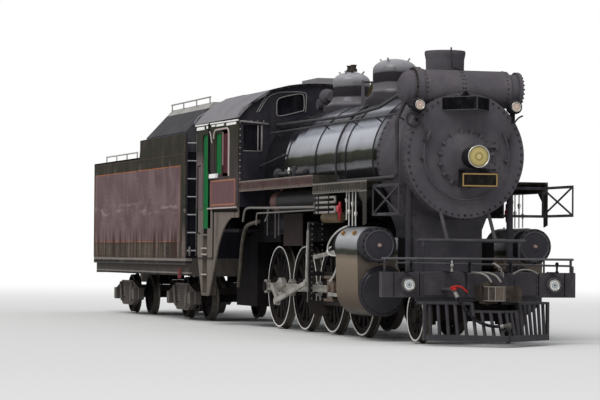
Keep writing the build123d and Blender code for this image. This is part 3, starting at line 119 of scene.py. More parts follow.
scene.world = bpy.data.worlds.new("surround")
tree = cleared(scene.world)
light = add(tree, "ShaderNodeBackground", {"Color": (0.93, 0.96, 1, 1), "Strength": 0.62})
plain = add(tree, "ShaderNodeBackground", {"Color": (1, 1, 1, 1), "Strength": 1})
mix = add(tree, "ShaderNodeMixShader", {0: seen_rays(tree), 1: light.outputs[0], 2: plain.outputs[0]})
add(tree, "ShaderNodeOutputWorld", {0: mix.outputs[0]})

lamp_data = bpy.data.lights.new("broad_lamp", "SUN")
lamp_data.energy, lamp_data.angle = 1.7, math.radians(38)
lamp = placed("broad_lamp", lamp_data)
lamp.rotation_euler = Vector((-0.55, 0.62, -0.95)).to_track_quat("-Z", "Y").to_euler()

floor_material = bpy.data.materials.new("pale_floor")
tree = cleared(floor_material)
away = add(tree, "ShaderNodeVectorMath", {0: own_place(tree)}, operation="LENGTH").outputs["Value"]
white_share = maths(tree, "MULTIPLY", seen_rays(tree), ranged(tree, away, 13, 60, curve="SMOOTHSTEP"))
matt = add(tree, "ShaderNodeBsdfDiffuse", {"Color": (0.72, 0.71, 0.69, 1)})
white = add(tree, "ShaderNodeEmission", {"Color": (1, 1, 1, 1), "Strength": 1})
mix = add(tree, "ShaderNodeMixShader", {0: white_share, 1: matt.outputs[0], 2: white.outputs[0]})
add(tree, "ShaderNodeOutputMaterial", {0: mix.outputs[0]})
floor_mesh = bpy.data.meshes.new("floor")
reach = 220
corners = [(-reach, -reach, 0), (reach, -reach, 0), (reach, reach, 0), (-reach, reach, 0)]
floor_mesh.from_pydata(corners, [], [(0, 1, 2, 3)])
floor_mesh.materials.append(floor_material)
placed("floor", floor_mesh)


# Brake hose
# A rubber air hose with a woven cover hangs from its cock under the pilot beam.
# It dips in front of the pilot's bars, and its iron coupling head rests on a hook there.

def mixed(tree, factor, first, second):
    """A colour between two others."""
    return add(tree, "ShaderNodeMix", {0: factor, 6: first, 7: second}, data_type="RGBA").outputs[2]


def noise(tree, vector, scale, detail, roughness=0.5):
    """A cloudy value."""
    given = {"Vector": vector, "Scale": scale, "Detail": detail, "Roughness": roughness}
    return add(tree, "ShaderNodeTexNoise", given).outputs[0]


def stretched(tree, vector, by):
    """Coordinates multiplied along each axis."""
    return add(tree, "ShaderNodeVectorMath", {0: vector, 1: by}, operation="MULTIPLY").outputs[0]


def bumped(tree, strength, distance, height):
    """A normal that follows a height."""
    return add(tree, "ShaderNodeBump", {"Strength": strength, "Distance": distance, "Height": height}).outputs[0]


def ramped(tree, share, stops):
    """A tone that runs through stops, each a share and its colour."""
    ramp = add(tree, "ShaderNodeValToRGB", {0: share})
    stones = ramp.color_ramp.elements
    while len(stones) < len(stops):
        stones.new(0.5)
    for stone, (at, colour) in zip(stones, stops):
        stone.position, stone.color = at, linear(colour)
    return ramp.outputs[0]


wear_labels = ("Patches", "Streaks", "Ledge dust", "Low dust", "Gloss", "Grain", "Size")


def weather_group():
    """Grime for painted and bare iron: patches, fine specks, streaks that run down, dust on ledges and low down."""
    group = bpy.data.node_groups.new("Weather", "ShaderNodeTree")
    sockets = [("INPUT", label, "Color") for label in ("Paint", "Grime")]
    sockets += [("INPUT", label, "Float") for label in wear_labels]
    sockets += [("OUTPUT", "Color", "Color"), ("OUTPUT", "Roughness", "Float"), ("OUTPUT", "Normal", "Vector")]
    for way, label, kind in sockets:
        group.interface.new_socket(name=label, in_out=way, socket_type="NodeSocket" + kind)
    source = group.nodes.new("NodeGroupInput").outputs
    place = own_place(group)
    scaled = add(group, "ShaderNodeVectorMath", {0: place, "Scale": source["Size"]}, operation="SCALE").outputs[0]
    broad = noise(group, scaled, 2.3, 6, 0.62)
    fine = noise(group, scaled, 34, 5, 0.7)
    runs = noise(group, stretched(group, scaled, (11, 11, 0.55)), 1, 4, 0.6)
    facing = add(group, "ShaderNodeNewGeometry").outputs["Normal"]
    upward, height = [add(group, "ShaderNodeSeparateXYZ", {0: v}).outputs["Z"] for v in (facing, place)]
    total = 0
    for value, low, high, label in ((broad, 0.46, 0.72, "Patches"), (runs, 0.48, 0.74, "Streaks"),
                                    (upward, 0.35, 1, "Ledge dust"), (height, 1.5, 0.1, "Low dust")):
        share = ranged(group, value, low, high, curve="SMOOTHSTEP")
        total = maths(group, "MAXIMUM", total, maths(group, "MULTIPLY", share, source[label]))
    broken = ranged(group, fine, 0.3, 0.68, 0.35, 1)
    mask = maths(group, "MULTIPLY", total, broken, use_clamp=True)
    colour = mixed(group, mask, source["Paint"], source["Grime"])
    tone = ranged(group, broad, 0.3, 0.7, 0.82, 1.16)
    toned = add(group, "ShaderNodeVectorMath", {0: colour, "Scale": tone}, operation="SCALE").outputs[0]
    rough = maths(group, "MULTIPLY_ADD", mask, 0.45, source["Gloss"])
    rough = maths(group, "MULTIPLY_ADD", broken, 0.1, rough, use_clamp=True)
    add(group, "NodeGroupOutput", {"Color": toned, "Roughness": rough,
                                   "Normal": bumped(group, source["Grain"], 0.004, fine)})
    return group


weather = weather_group()


def blank_material(name, IOR=1.04, **values):
    """A material with one Principled shader, dull like old paint; returns the material, its tree and the shader."""
    material = bpy.data.materials.new(name)
    material.use_nodes = True
    shader = material.node_tree.nodes["Principled BSDF"]
    for socket, value in {"IOR": IOR, **values}.items():
        shader.inputs[socket.replace("_", " ")].default_value = value
    return material, material.node_tree, shader


def inside(tree, value, low, high, soft=0.004):
    """One between two places along an axis, and nothing outside them."""
    return maths(tree, "MULTIPLY", ranged(tree, value, low - soft, low), ranged(tree, value, high, high + soft, 1, 0))


def painted(tree, colour, areas):
    """A colour with others laid over it, each in its own stretch of X, of distance from the middle (Y) and of Z."""
    spot = add(tree, "ShaderNodeSeparateXYZ", {0: own_place(tree)}).outputs
    axes = {"X": spot["X"], "Y": maths(tree, "ABSOLUTE", spot["Y"]), "Z": spot["Z"]}
    for code, limits, *soft in areas:
        mask = 1
        for axis, (low, high) in limits.items():
            mask = maths(tree, "MULTIPLY", mask, inside(tree, axes[axis], low, high, *soft))
        colour = mixed(tree, mask, colour, linear(code))
    return colour


def coat(tree, shader, paint, grime, *wear):
    """Paint under grime on a shader; wear is how strong each is, in the order of wear_labels."""
    group = add(tree, "ShaderNodeGroup", node_tree=weather)
    feed(tree, group, {"Paint": paint, "Grime": grime, **dict(zip(wear_labels, wear))})
    feed(tree, shader, {"Base Color": group.outputs[0], "Roughness": group.outputs[1], "Normal": group.outputs[2]})
    return group.outputs[0]


def weathered(name, paint, grime, *wear, areas=(), **values):
    """A material that is one paint or bare metal under the locomotive's grime, with other paints in given areas."""
    material, tree, shader = blank_material(name, **values)
    paint = painted(tree, linear(paint), areas) if areas else linear(paint)
    coat(tree, shader, paint, linear(grime), *wear)
    return material


def dress(material, *names):
    """Gives CAD nodes their material."""
    for name in names:
        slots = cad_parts[name].data.materials
        slots.clear()
        slots.append(material)


def riding(thing, body="engine"):
    """A piece set on its body."""
    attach(thing, body)
    return thing


def piece(name, mesh, material, smooth=True, body="engine"):
    """A finished mesh as a piece that rides a body, with its place in its mesh."""
    mesh.name = name
    mesh.materials.clear()
    mesh.materials.append(material)
    mesh.polygons.foreach_set("use_smooth", [smooth] * len(mesh.polygons))
    return riding(placed(name, mesh), body)


def run_curve(name, points, radius, bent, fineness, steps=6):
    """A round run through points; where it is bent, they hold one smooth line."""
    curve = bpy.data.curves.new(name, "CURVE")
    curve.dimensions = "3D"
    spline = curve.splines.new("NURBS" if bent else "POLY")
    spline.points.add(len(points) - 1)
    for point, at in zip(spline.points, points):
        point.co = (*at, 1)
    if bent:
        spline.order_u = 3
        spline.use_endpoint_u = True
        spline.resolution_u = steps
    curve.bevel_depth, curve.bevel_resolution = radius, fineness
    curve.use_fill_caps = True
    return curve


hose_rubber, tree, shader = blank_material("hose_rubber", Roughness=0.7)
threads = {"Vector": add(tree, "ShaderNodeTexCoord").outputs["UV"], "Scale": 1.2, "Distortion": 0.4, "Detail": 1.5}
weave = add(tree, "ShaderNodeTexWave", threads, bands_direction="DIAGONAL").outputs[0]
dusty = ramped(tree, noise(tree, own_place(tree), 22, 6), [(0.4, "17161a"), (0.75, "353235")])
feed(tree, shader, {"Base Color": dusty, "Normal": bumped(tree, 0.35, 0.002, weave)})

hose_points = [(10.662, -0.592, 0.792), (10.755, -0.574, 0.699), (10.826, -0.522, 0.590), (10.905, -0.463, 0.485),
               (10.992, -0.391, 0.398), (11.083, -0.306, 0.343), (11.168, -0.224, 0.317), (11.238, -0.145, 0.309),
               (11.284, -0.056, 0.318)]
hose_curve = run_curve("brake_hose", hose_points, 0.024, True, 5, steps=8)
hose_curve.materials.append(hose_rubber)
brake_hose = riding(placed("brake_hose", hose_curve))
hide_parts("air_hose")


def finished(mesh, outward=True):
    """A plain mesh from an edited one, its faces turned outward if they need it."""
    if outward:
        bmesh.ops.recalc_face_normals(mesh, faces=mesh.faces)
    result = bpy.data.meshes.new("shape")
    mesh.to_mesh(result)
    mesh.free()
    return result


def lathe(rings, centre, axis, segments=32):
    """A turned mesh: each ring is its radius and its distance along the axis; zero radius closes an end."""
    turn = Vector((0, 0, 1)).rotation_difference(Vector(axis)).to_matrix().to_4x4()
    mesh = bmesh.new()
    loops = []
    for radius, along in rings:
        angles = [2 * math.pi * k / segments for k in range(segments if radius else 1)]
        loops.append([mesh.verts.new((radius * math.cos(a), radius * math.sin(a), along)) for a in angles])
    for first, second in zip(loops, loops[1:]):
        for k in range(segments):
            after = (k + 1) % segments
            corners = [first[k % len(first)], first[after % len(first)], second[after % len(second)],
                       second[k % len(second)]]
            unique = list(dict.fromkeys(corners))
            if len(unique) > 2:
                mesh.faces.new(unique)
    mesh.transform(Matrix.Translation(centre) @ turn)
    return finished(mesh)


def joined(*meshes):
    """One mesh from several."""
    whole = bmesh.new()
    for mesh in meshes:
        whole.from_mesh(mesh)
        bpy.data.meshes.remove(mesh)
    return finished(whole, False)


coupling_iron = weathered("coupling_iron", "96938e", "4a443e", 0.6, 0, 0.2, 0.2, 0.3, 0.3, 6, Metallic=0.4,
                          Specular_Tint=(0.6, 0.6, 0.6, 1), IOR=1.3)
clamp_rings = [(0.0245, 0), (0.031, 0), (0.031, 0.012), (0.0265, 0.014), (0.0265, 0.03), (0.031, 0.032), (0.031, 0.046),
               (0.0245, 0.046)]
hose_start, second, *_, last_but_one, hose_end = [Vector(at) for at in hose_points]
hose_way, start_way = (hose_end - last_but_one).normalized(), (second - hose_start).normalized()
clamps = [lathe(clamp_rings, end + way * shift, way, 20) for end, way, shift in
          ((hose_end, hose_way, -0.05), (hose_start, start_way, 0.004), (hose_start, start_way, 0.055))]
hose_clamps = piece("hose_clamps", joined(*clamps), coupling_iron)
dress(weathered("fitting_iron", "514e4b", "3b3530", 0.6, 0, 0.2, 0.2, 0.3, 0.3, 6, IOR=1.2), "hose_fitting")


# Frame, trucks and brake gear
# Cast and riveted steel under the boiler and the tender, painted black long ago.
# Ballast dust and oil lie on it, thickest low down.

black_iron = weathered("black_iron", "1a191b", "463e38", 0.25, 0.2, 0.55, 0.35, 0.42, 0.5, 1.2)
dress(black_iron, "frame", "frame_stays", "air_pump", "pilot_truck", "tender_drawgear", "brake_gear")
dress(weathered("truck_iron", "565150", "5a5047", 0.4, 0.2, 0.7, 0.35, 0.5, 0.6, 1.5), "tender_truck_front",
      "tender_truck_rear")
dress(weathered("yoke_iron", "1b1a1c", "4f4740", 0.3, 0.3, 0.6, 0.4, 0.42, 0.4, 1.3, IOR=1.06), "guide_yoke")
# Pale lines along the tender's sill, each with a dark band below it that is painted shade in the gap under the lip.
sill_lines_and_gap_shade = [(code, {"Y": (1.4, 1.6), "Z": span}) for code, span in
              (("847d78", (1.2, 1.26)), ("2a2827", (1.15, 1.19)), ("7d7974", (0.948, 0.972)), ("2c2a29", (0.89, 0.94)))]
dress(weathered("sill_iron", "474340", "6a625c", 0.4, 0.4, 0.6, 0.2, 0.5, 0.4, 1.2, areas=sill_lines_and_gap_shade), "tender_frame")
splash_areas = [("362f2e", {"X": (2.97, 4.16), "Y": (1.008, 1.2), "Z": (1.48, 2.07)})]
dress(weathered("ash_pan_iron", "151417", "36302c", 0.25, 0.3, 0.4, 0.3, 0.45, 0.5, 1.2, areas=splash_areas), "ash_pan")
dress(weathered("cast_brown", "3b3531", "5a5049", 0.6, 0.1, 0.6, 0.1, 0.45, 0.6, 3.6, IOR=1.1,
                areas=[("5b524a", {"X": (11.085, 11.2)})]),
      "coupler_front", "coupler_rear", "knuckle_front", "knuckle_rear")


def repeat_tree(name, kind, given):
    """Geometry nodes that set one small shape along every edge of a wire mesh, a pitch apart."""
    tree = bpy.data.node_groups.new(name, "GeometryNodeTree")
    for label, socket in (("Wires", "Geometry"), ("Pitch", "Float"), ("Radius", "Float"), ("Height", "Float"),
                          ("Turn", "Vector"), ("Finish", "Material")):
        tree.interface.new_socket(name=label, in_out="INPUT", socket_type="NodeSocket" + socket)
    tree.interface.new_socket(name="Heads", in_out="OUTPUT", socket_type="NodeSocketGeometry")
    take = tree.nodes.new("NodeGroupInput").outputs
    line = add(tree, "GeometryNodeMeshToCurve", {0: take["Wires"]}).outputs[0]
    spaced = add(tree, "GeometryNodeResampleCurve", {"Curve": line, "Length": take["Pitch"]}, mode="LENGTH").outputs[0]
    given = {socket: take[value] if isinstance(value, str) else value for socket, value in given.items()}
    head = add(tree, kind, given).outputs[0]
    spread = add(tree, "GeometryNodeInstanceOnPoints", {"Points": spaced, "Instance": head, "Rotation": take["Turn"]})
    real = add(tree, "GeometryNodeRealizeInstances", {0: spread.outputs[0]}).outputs[0]
    coated = add(tree, "GeometryNodeSetMaterial", {"Geometry": real, "Material": take["Finish"]}).outputs[0]
    add(tree, "NodeGroupOutput", {0: coated})
    return tree


rivet_tree = repeat_tree("rivets_along", "GeometryNodeMeshIcoSphere", {"Radius": "Radius", "Subdivisions": 2})
bolt_tree = repeat_tree("bolts_along", "GeometryNodeMeshCylinder",
                        {"Vertices": 6, "Radius": "Radius", "Depth": "Height"})


def along(name, wires, pitch, radius, material, slot, body="engine", turn=None, height=0.02):
    """Rivets, or bolts where a turn is given, along wires that are lists of points; one mesh that rides a body."""
    tree = rivet_tree if turn is None else bolt_tree
    mesh = bpy.data.meshes.new(name + "_wires")
    points, edges = [], []
    for wire in wires:
        first = len(points)
        points += [tuple(at) for at in wire]
        edges += [(k, k + 1) for k in range(first, len(points) - 1)]
    mesh.from_pydata(points, edges, [])
    holder = placed(name + "_wires", mesh)
    modifier = holder.modifiers.new("heads", "NODES")
    modifier.node_group = tree
    given = {"Pitch": pitch, "Radius": radius, "Height": height, "Turn": turn or (0, 0, 0), "Finish": material}
    for item in tree.interface.items_tree:
        if item.in_out == "INPUT" and item.name in given:
            modifier[item.identifier] = given[item.name]
    bpy.context.view_layer.update()
    result = bpy.data.meshes.new_from_object(holder.evaluated_get(bpy.context.evaluated_depsgraph_get()))
    holder.modifiers.remove(modifier)
    bpy.data.objects.remove(holder)
    return piece(name, result, material, turn is None, body)


def ring(centre, axis, radius, count):
    """Points round a circle, closed by coming back to its first point."""
    turn = Vector((0, 0, 1)).rotation_difference(Vector(axis)).to_matrix()
    angles = [math.radians(360 * k / count) for k in range(count + 1)]
    return [Vector(centre) + turn @ Vector((radius * math.cos(a), radius * math.sin(a), 0)) for a in angles]


def boxes(*limits):
    """Plain blocks with sharp corners eased, each given as its low and high corner."""
    mesh = bmesh.new()
    for low, high in limits:
        for vert in bmesh.ops.create_cube(mesh, size=1)["verts"]:
            vert.co = [(a + b) / 2 + c * abs(b - a) for a, b, c in zip(low, high, vert.co)]
    smallest = min(abs(b - a) for low, high in limits for a, b in zip(low, high))
    bmesh.ops.bevel(mesh, geom=mesh.edges, offset=min(0.006, smallest * 0.22), segments=1, affect="EDGES")
    return finished(mesh, False)


def slabs(side, deep, proud, *spans):
    """Flat blocks on one side of the locomotive, from depth to height off its middle, each (x0, x1, z0, z1)."""
    near, far = sorted((side * deep, side * proud))
    return boxes(*[((x0, near, z0), (x1, far, z1)) for x0, x1, z0, z1 in spans])


def tube(points, radius, bent=False, fineness=3):
    """A round rod or pipe through points, as a mesh."""
    holder = bpy.data.objects.new("tube", run_curve("tube", points, radius, bent, fineness))
    mesh = bpy.data.meshes.new_from_object(holder)
    bpy.data.curves.remove(holder.data)
    return mesh


def pipe(points, radius):
    """A round pipe bent as one smooth line."""
    return tube(points, radius, True)


def sideways(side, *points):
    """Points given for the left side, on either side."""
    return [(x, side * y, z) for x, y, z in points]


def upright(y, *points):
    """Points (x, z) in an upright sheet along the locomotive."""
    return [(x, y, z) for x, z in points]


truck_grey = weathered("truck_grey", "77726c", "3f3832", 0.6, 0.3, 0.4, 0.3, 0.45, 0.4, 4)
hanger_grey = weathered("hanger_grey", "8a8681", "4d453e", 0.6, 0.3, 0.3, 0.2, 0.4, 0.3, 4)
spring_foot, spring_height, spring_radius, spring_wire, spring_turns = 0.362, 0.230, 0.052, 0.013, 5


def coil(x, y):
    """A spring standing on end."""
    count = spring_turns * 12
    return tube([(x + spring_radius * math.cos(k * math.pi / 6), y + spring_radius * math.sin(k * math.pi / 6),
                  spring_foot + spring_height * k / count) for k in range(count + 1)], spring_wire, fineness=1)


for word, x in (("front", -4.06), ("rear", -9.06)):
    truck = f"tender_truck_{word}"
    springs = [coil(x + dx, side * 1.045) for side in (-1, 1) for dx in (-0.505, -0.37, 0.37, 0.505)]
    piece(f"truck_springs_{word}", joined(*springs), hanger_grey, body=truck)
    fittings, lids = [], []
    for side in (-1, 1):
        near, far = sorted((side * 1.188, side * 1.203))
        for box_x in (x - 0.875, x + 0.875):
            lids.append(boxes(((box_x - 0.088, near, 0.345), (box_x + 0.088, far, 0.535)),
                              ((box_x - 0.03, near, 0.4), (box_x + 0.03, far + max(side, 0) * 0.008, 0.425))))
            lids.append(tube(upright(side * 1.196, (box_x - 0.075, 0.549), (box_x + 0.075, 0.549)), 0.013))
        for edge in ([(-1.07, 0.342), (-1.07, 0.572), (-0.52, 0.732), (0.52, 0.732), (1.07, 0.572), (1.07, 0.342)],
                     [(-0.7, 0.342), (-0.42, 0.217), (0.42, 0.217), (0.7, 0.342)]):
            fittings.append(tube([(x + dx, side * 1.11, z) for dx, z in edge], 0.012))
        fittings.append(slabs(side, 1.106, 1.122, *[(x + dx - 0.02, x + dx + 0.02, 0.35, 0.62)
                                                    for dx in (-0.655, -0.215, 0.215, 0.655)]))
        fittings += [lathe([(0, 0.03), (0.024, 0.026), (0.026, 0)], (x + dx, side * 1.11, 0.262), (0, side, 0), 6)
                     for dx in (-0.3, -0.12, 0.12, 0.3)]
        for lean in (-1, 1):
            fittings += [tube(upright(side * 1.15, *[(x + lean * dx, z) for dx, z in
                                                     ((0.545, 0.69), (0.5, 0.52), (0.44, 0.3))]), 0.026),
                         tube([(x + lean * 0.545, side * y, 0.69) for y in (1.08, 1.165)], 0.02)]
    piece(f"truck_box_lids_{word}", joined(*lids), truck_grey, False, truck)
    piece(f"truck_edges_{word}", joined(*fittings), truck_grey, False, truck)


# Wheels
# Spoked cast-steel driving and leading wheels, black, with a thin white line round each tyre.
# The tread is bright where it runs on the rail, and the tender's wheels are plain discs.

def centred_radius(tree, centre, keep):
    """Coordinates moved to a centre, and the distance from it across an axle or a lamp's axis."""
    moved = add(tree, "ShaderNodeMapping", {"Vector": own_place(tree), "Location": [-c for c in centre]}).outputs[0]
    flat = stretched(tree, moved, keep)
    return moved, add(tree, "ShaderNodeVectorMath", {0: flat}, operation="LENGTH").outputs["Value"]


def wheel_material(name, x, z, tread):
    """Black casting with oil thrown round its hub and a worn bright tread, centred on its axle."""
    material, tree, shader = blank_material(name, Specular_Tint=(0.5, 0.5, 0.5, 1))
    colour = coat(tree, shader, linear("1d1c1e"), linear("51473e"), 0.45, 0, 0.5, 0.2, 0.4, 0.35, 1.7)
    radius = centred_radius(tree, (x, 0, z), (1, 0, 1))[1]
    rim = ranged(tree, radius, tread - 0.009, tread - 0.004)
    feed(tree, shader, {"Base Color": mixed(tree, rim, colour, linear("5a5550")), "Metallic": rim})
    return material


white_line = weathered("white_line", "efece5", "8a8178", 0.45, 0.1, 0.2, 0.2, 0.5, 0.2, 2.5)
tyre_face, line_width, line_depth, line_inset = 0.8195, 0.026, 0.003, 0.007


def tyre_lines(x, z, radius):
    """The white line on a wheelset's two outer tyre faces."""
    outer = radius - line_inset
    inner = outer - line_width
    rings = [(inner, 0), (inner, line_depth), (outer, line_depth), (outer, 0), (inner, 0)]
    return joined(*[lathe(rings, (x, side * tyre_face, z), (0, side, 0), 72) for side in (-1, 1)])


# name, body, x, axle height, tread radius
wheelsets = [(f"driver_{k}", f"axle_{k}", x, 0.765, 0.737) for k, x in enumerate((6.84, 5.23, 3.62, 2.01), start=1)]
wheelsets += [("pilot_wheel", "pilot_wheels", 9.5, 0.422, 0.394)]
wheelsets += [(f"tender_wheel_{k}", f"tender_wheels_{k}", x, 0.447, 0.419)
              for k, x in enumerate((-3.185, -4.935, -8.185, -9.935), start=1)]
for name, body, x, z, tread in wheelsets:
    dress(wheel_material(name + "_iron", x, z, tread), body)
    if not name.startswith("tender"):
        piece(name + "_white_lines", tyre_lines(x, z, tread), white_line, body=body)


# Rods and valve gear
# Forged steel, bright from wiping down and filmed with oil.

sides = ((-1, "right"), (1, "left"))
rod_steel, tree, shader = blank_material("rod_steel", Metallic=0.45, IOR=1.2, Specular_Tint=(0.55, 0.55, 0.55, 1))
place = own_place(tree)
hairs = noise(tree, stretched(tree, place, (3, 30, 60)), 1.5, 4)
film = ranged(tree, noise(tree, place, 5, 6, 0.65), 0.42, 0.7)
feed(tree, shader, {"Base Color": mixed(tree, film, linear("a39f99"), linear("5e554b")),
                    "Roughness": ranged(tree, hairs, 0, 1, 0.22, 0.5), "Normal": bumped(tree, 0.15, 0.001, hairs)})
dress(rod_steel, "main_rods", "valve_gear", "side_rods_right", "side_rods_left")
dress(weathered("crosshead_bronze", "64554a", "38312c", 0.6, 0.1, 0.5, 0.1, 0.35, 0.3, 4, Metallic=0.2, IOR=1.15),
      "crossheads")
# A pale strip down each guide yoke's front edge, a painted highlight; the yoke's rivets take the same pale colour as
# painted highlights on their heads.
yoke_highlight = weathered("yoke_highlight", "7c7977", "4a443e", 0.5, 0.2, 0.2, 0.3, 0.4, 0.3, 4)
for side, word in sides:
    edge = tube(upright(side * 1.452, (5.883, 0.56), (5.883, 1.875)), 0.007)
    piece(f"yoke_edge_highlight_{word}", edge, yoke_highlight)
    rows = [sideways(side, (6.003, y, 0.62), (6.003, y, 1.86)) for y in (1.415, 1.24)]
    rows += [sideways(side, (6.003, 1.4, 1.845), (6.003, 1.24, 1.845))]
    along(f"yoke_rivets_{word}", rows, 0.085, 0.01, yoke_highlight, "graphite")


# Cylinders
# Cast-iron cylinders in polished dark sheet, dented and dull with age, with bolted heads. The sheet's base colour is a
# painted reflection in bands: tan low down, a dark olive band, and a pale painted highlight along the top.

between_domes = 3.64


def reflection_banded_metal(name, stops, waviness, rough_low, rough_high, metallic, dust, areas=(), high=None, lean=0):
    """Polished sheet whose base colour is a painted reflection in bands up its height, which may lean along the domes,
    with dust specks on it; it is softly dented.
    """
    material, tree, shader = blank_material(name, Metallic=metallic, Specular_Tint=(0.35, 0.35, 0.35, 1))
    low, high = stops[0][0], high or stops[-1][0]
    place = own_place(tree)
    spot = add(tree, "ShaderNodeSeparateXYZ", {0: place}).outputs
    dents = noise(tree, place, 2.2, 3)
    specks = noise(tree, place, 7, 6, 0.6)
    level = maths(tree, "ADD", spot["Z"], ranged(tree, dents, 0, 1, -waviness, waviness))
    level = maths(tree, "ADD", level, maths(tree, "MULTIPLY_ADD", spot["X"], -lean, lean * between_domes))
    # The tones by height are a painted reflection of sky, trees and ground in the polished sheet.
    tones = ramped(tree, ranged(tree, level, low, high), [((at - low) / (high - low), code) for at, code in stops])
    sheet = mixed(tree, ranged(tree, specks, 0.5, 0.8, 0, dust, "SMOOTHSTEP"), tones, linear("3b3632"))
    feed(tree, shader, {"Base Color": painted(tree, sheet, areas), "Normal": bumped(tree, 0.4, 0.03, dents),
                        "Roughness": ranged(tree, specks, 0.3, 0.75, rough_low, rough_high)})
    return material


bare_casting = [("201f20", {"X": (7.5, 7.698)}), ("39373b", {"X": (8.822, 9.2)}), ("1d1c1d", {"Y": (0.4, 0.8)})]
cylinder_reflection_stops = [(0.39, "2b2826"), (0.46, "574e46"), (0.7, "6b5f53"), (1.08, "7c6f60"), (1.27, "877a6b"),
                  (1.335, "6d6459"), (1.365, "34352c"), (1.425, "3a3c34"), (1.455, "7e7e80"), (1.55, "9d9ea0"),
                  (1.62, "b5b6b7"), (1.79, "828284")]
dress(reflection_banded_metal("cylinder_painted_reflection", cylinder_reflection_stops, 0.035, 0.16, 0.3, 0.25, 0.25, bare_casting), "cylinders")
amber = weathered("amber_plug", "8a6238", "5d3d26", 0.4, 0.1, 0.1, 0, 0.3, 0.2, 6, IOR=1.3)
silver = weathered("bright_pipe", "c2c0bb", "6b655e", 0.4, 0, 0.1, 0, 0.25, 0.2, 6, Metallic=0.4,
                   Specular_Tint=(0.6, 0.6, 0.6, 1), IOR=1.3)
signal_red = weathered("valve_red", "b03038", "5f2422", 0.35, 0.1, 0.1, 0, 0.3, 0.2, 8, IOR=1.3)
bolt_steel = weathered("bolt_steel", "35322f", "6a5a4a", 0.5, 0.1, 0.3, 0.3, 0.4, 0.3, 3)
# A pale grey for the rims of covers and lamp bezels, lighter than the black round them as a painted highlight.
rim_highlight_grey = weathered("rim_highlight_grey", "4f4d51", "5a544f", 0.3, 0.1, 0.4, 0, 0.25, 0.2, 3, IOR=1.15)
plug_pink = weathered("plug_worn", "a08680", "5a4a44", 0.4, 0, 0.1, 0, 0.4, 0.2, 8)
along_x, along_y, along_z = (1, 0, 0), (0, 1, 0), (0, 0, 1)
face_forward = (0, math.pi / 2, 0)
plug_rings = [(0.03, -0.02), (0.03, 0.02), (0.04, 0.022), (0.04, 0.05), (0.03, 0.062), (0, 0.064)]
drain_rings = [(0, 0.05), (0.02, 0.045), (0.028, 0.02), (0.02, -0.02), (0.011, -0.045), (0, -0.05)]
stem_rings = [(0, 0.15), (0.018, 0.145), (0.022, 0.05), (0.034, 0.03), (0.034, -0.03), (0.022, -0.05), (0.016, -0.15),
              (0, -0.155)]
hand_wheel_rings = [(0, 0.012), (0.055, 0.012), (0.06, 0), (0.055, -0.012), (0, -0.012)]
cover_rings = [(0.214, -0.01), (0.218, 0.006), (0.23, 0.008), (0.236, 0.002), (0.238, -0.01)]
for side, word in sides:
    plugs = [lathe(plug_rings, (x, side * 1.475, 1.668), (0, side * 0.75, 0.66), 8) for x in (7.98, 8.56)]
    piece(f"chest_plugs_{word}", joined(*plugs), amber, False)
    drain_y = side * 1.4
    drains = [pipe(sideways(side, (7.66, 1.33, 1.8), (7.5, 1.38, 1.775), (7.085, 1.4, 1.645), (6.841, 1.4, 1.507),
                            (6.82, 1.4, 1.39), (6.95, 1.4, 1.34), (7.252, 1.4, 1.332), (7.62, 1.36, 1.33)), 0.016),
              pipe(upright(drain_y, (7.4, 1.33), (7.375, 1.271), (7.319, 1.107), (7.1, 0.96), (6.955, 0.921)), 0.016)]
    drains += [tube(upright(drain_y, (x, 2.34), (x, foot)), 0.011) for x, foot in
               ((7.83, 1.9), (7.96, 1.8), (8.14, 1.8), (8.3, 1.8))]
    drains += [lathe(drain_rings, (x, drain_y, z), along_z, 12) for x, z in
               ((7.83, 2.2), (7.96, 2.02), (8.14, 2.14), (8.3, 1.98))]
    piece(f"cylinder_pipes_{word}", joined(*drains), silver)
    stem = lathe(stem_rings, (7.535, side * 1.42, 2.045), along_z, 12)
    hand_wheel = lathe(hand_wheel_rings, (7.535, side * 1.455, 2.08), along_y, 16)
    piece(f"red_valve_{word}", joined(stem, hand_wheel), signal_red)
for side, word in sides:
    head_wires = [ring((8.86, side * 1.12, 0.79), along_x, 0.348, 24),
                  ring((9.12, side * 1.28, 1.498), along_x, 0.262, 18)]
    along(f"cylinder_head_bolts_{word}", head_wires, 0.092, 0.015, black_iron, "jacket_dark", turn=face_forward)
    # Each chest cover gets a raised rim ring, its paler colour a painted highlight.
    chest_face = (9.136, side * 1.28, 1.498)
    piece(f"chest_cover_rim_highlight_{word}", lathe(cover_rings, chest_face, along_x, 48), rim_highlight_grey)
    nut = lathe([(0, 0.045), (0.028, 0.04), (0.034, 0), (0.034, -0.02)], chest_face, along_x, 6)
    piece(f"chest_plug_{word}", nut, plug_pink, False)


# Boiler jacket
# Planished steel sheet over the boiler's lagging, held by bands and bright from polishing; its base colour is a painted
# reflection in bands up its height: near black low down, a dark olive band, pale above it.

boiler_z, boiler_radius = 2.893, 1.025
jacket_reflection_stops = [(1.7, "161617"), (2.5, "1f1f20"), (2.72, "2c2c2e"), (2.755, "7b7b7e"), (2.845, "5f5f61"),
                (2.87, "2a2b24"), (3.02, "3a3c31"), (3.055, "8a8c8d"), (3.16, "b2b3b9"), (3.34, "c6c7cf"),
                (3.46, "a9abb5"), (3.53, "56575c"), (3.64, "5f6066"), (3.7, "a3a5ad"), (3.76, "6a6b71"),
                (3.95, "5a5a60")]
# Darker tones laid over the painted reflection: the jacket's rear length, and two patches on its top before the dome.
darker_jacket_areas = [("262528", {"X": (1, 2.96)}), ("333237", {"X": (2.9, 3.3), "Z": (3.36, 4.2)}, 0.1),
                ("3a3a3f", {"X": (3.2, 3.7), "Z": (3.5, 4.2)}, 0.1)]
dress(reflection_banded_metal("jacket_painted_reflection", jacket_reflection_stops, 0.028, 0.1, 0.24, 0.3, 0.15, darker_jacket_areas), "boiler_barrel", "firebox")


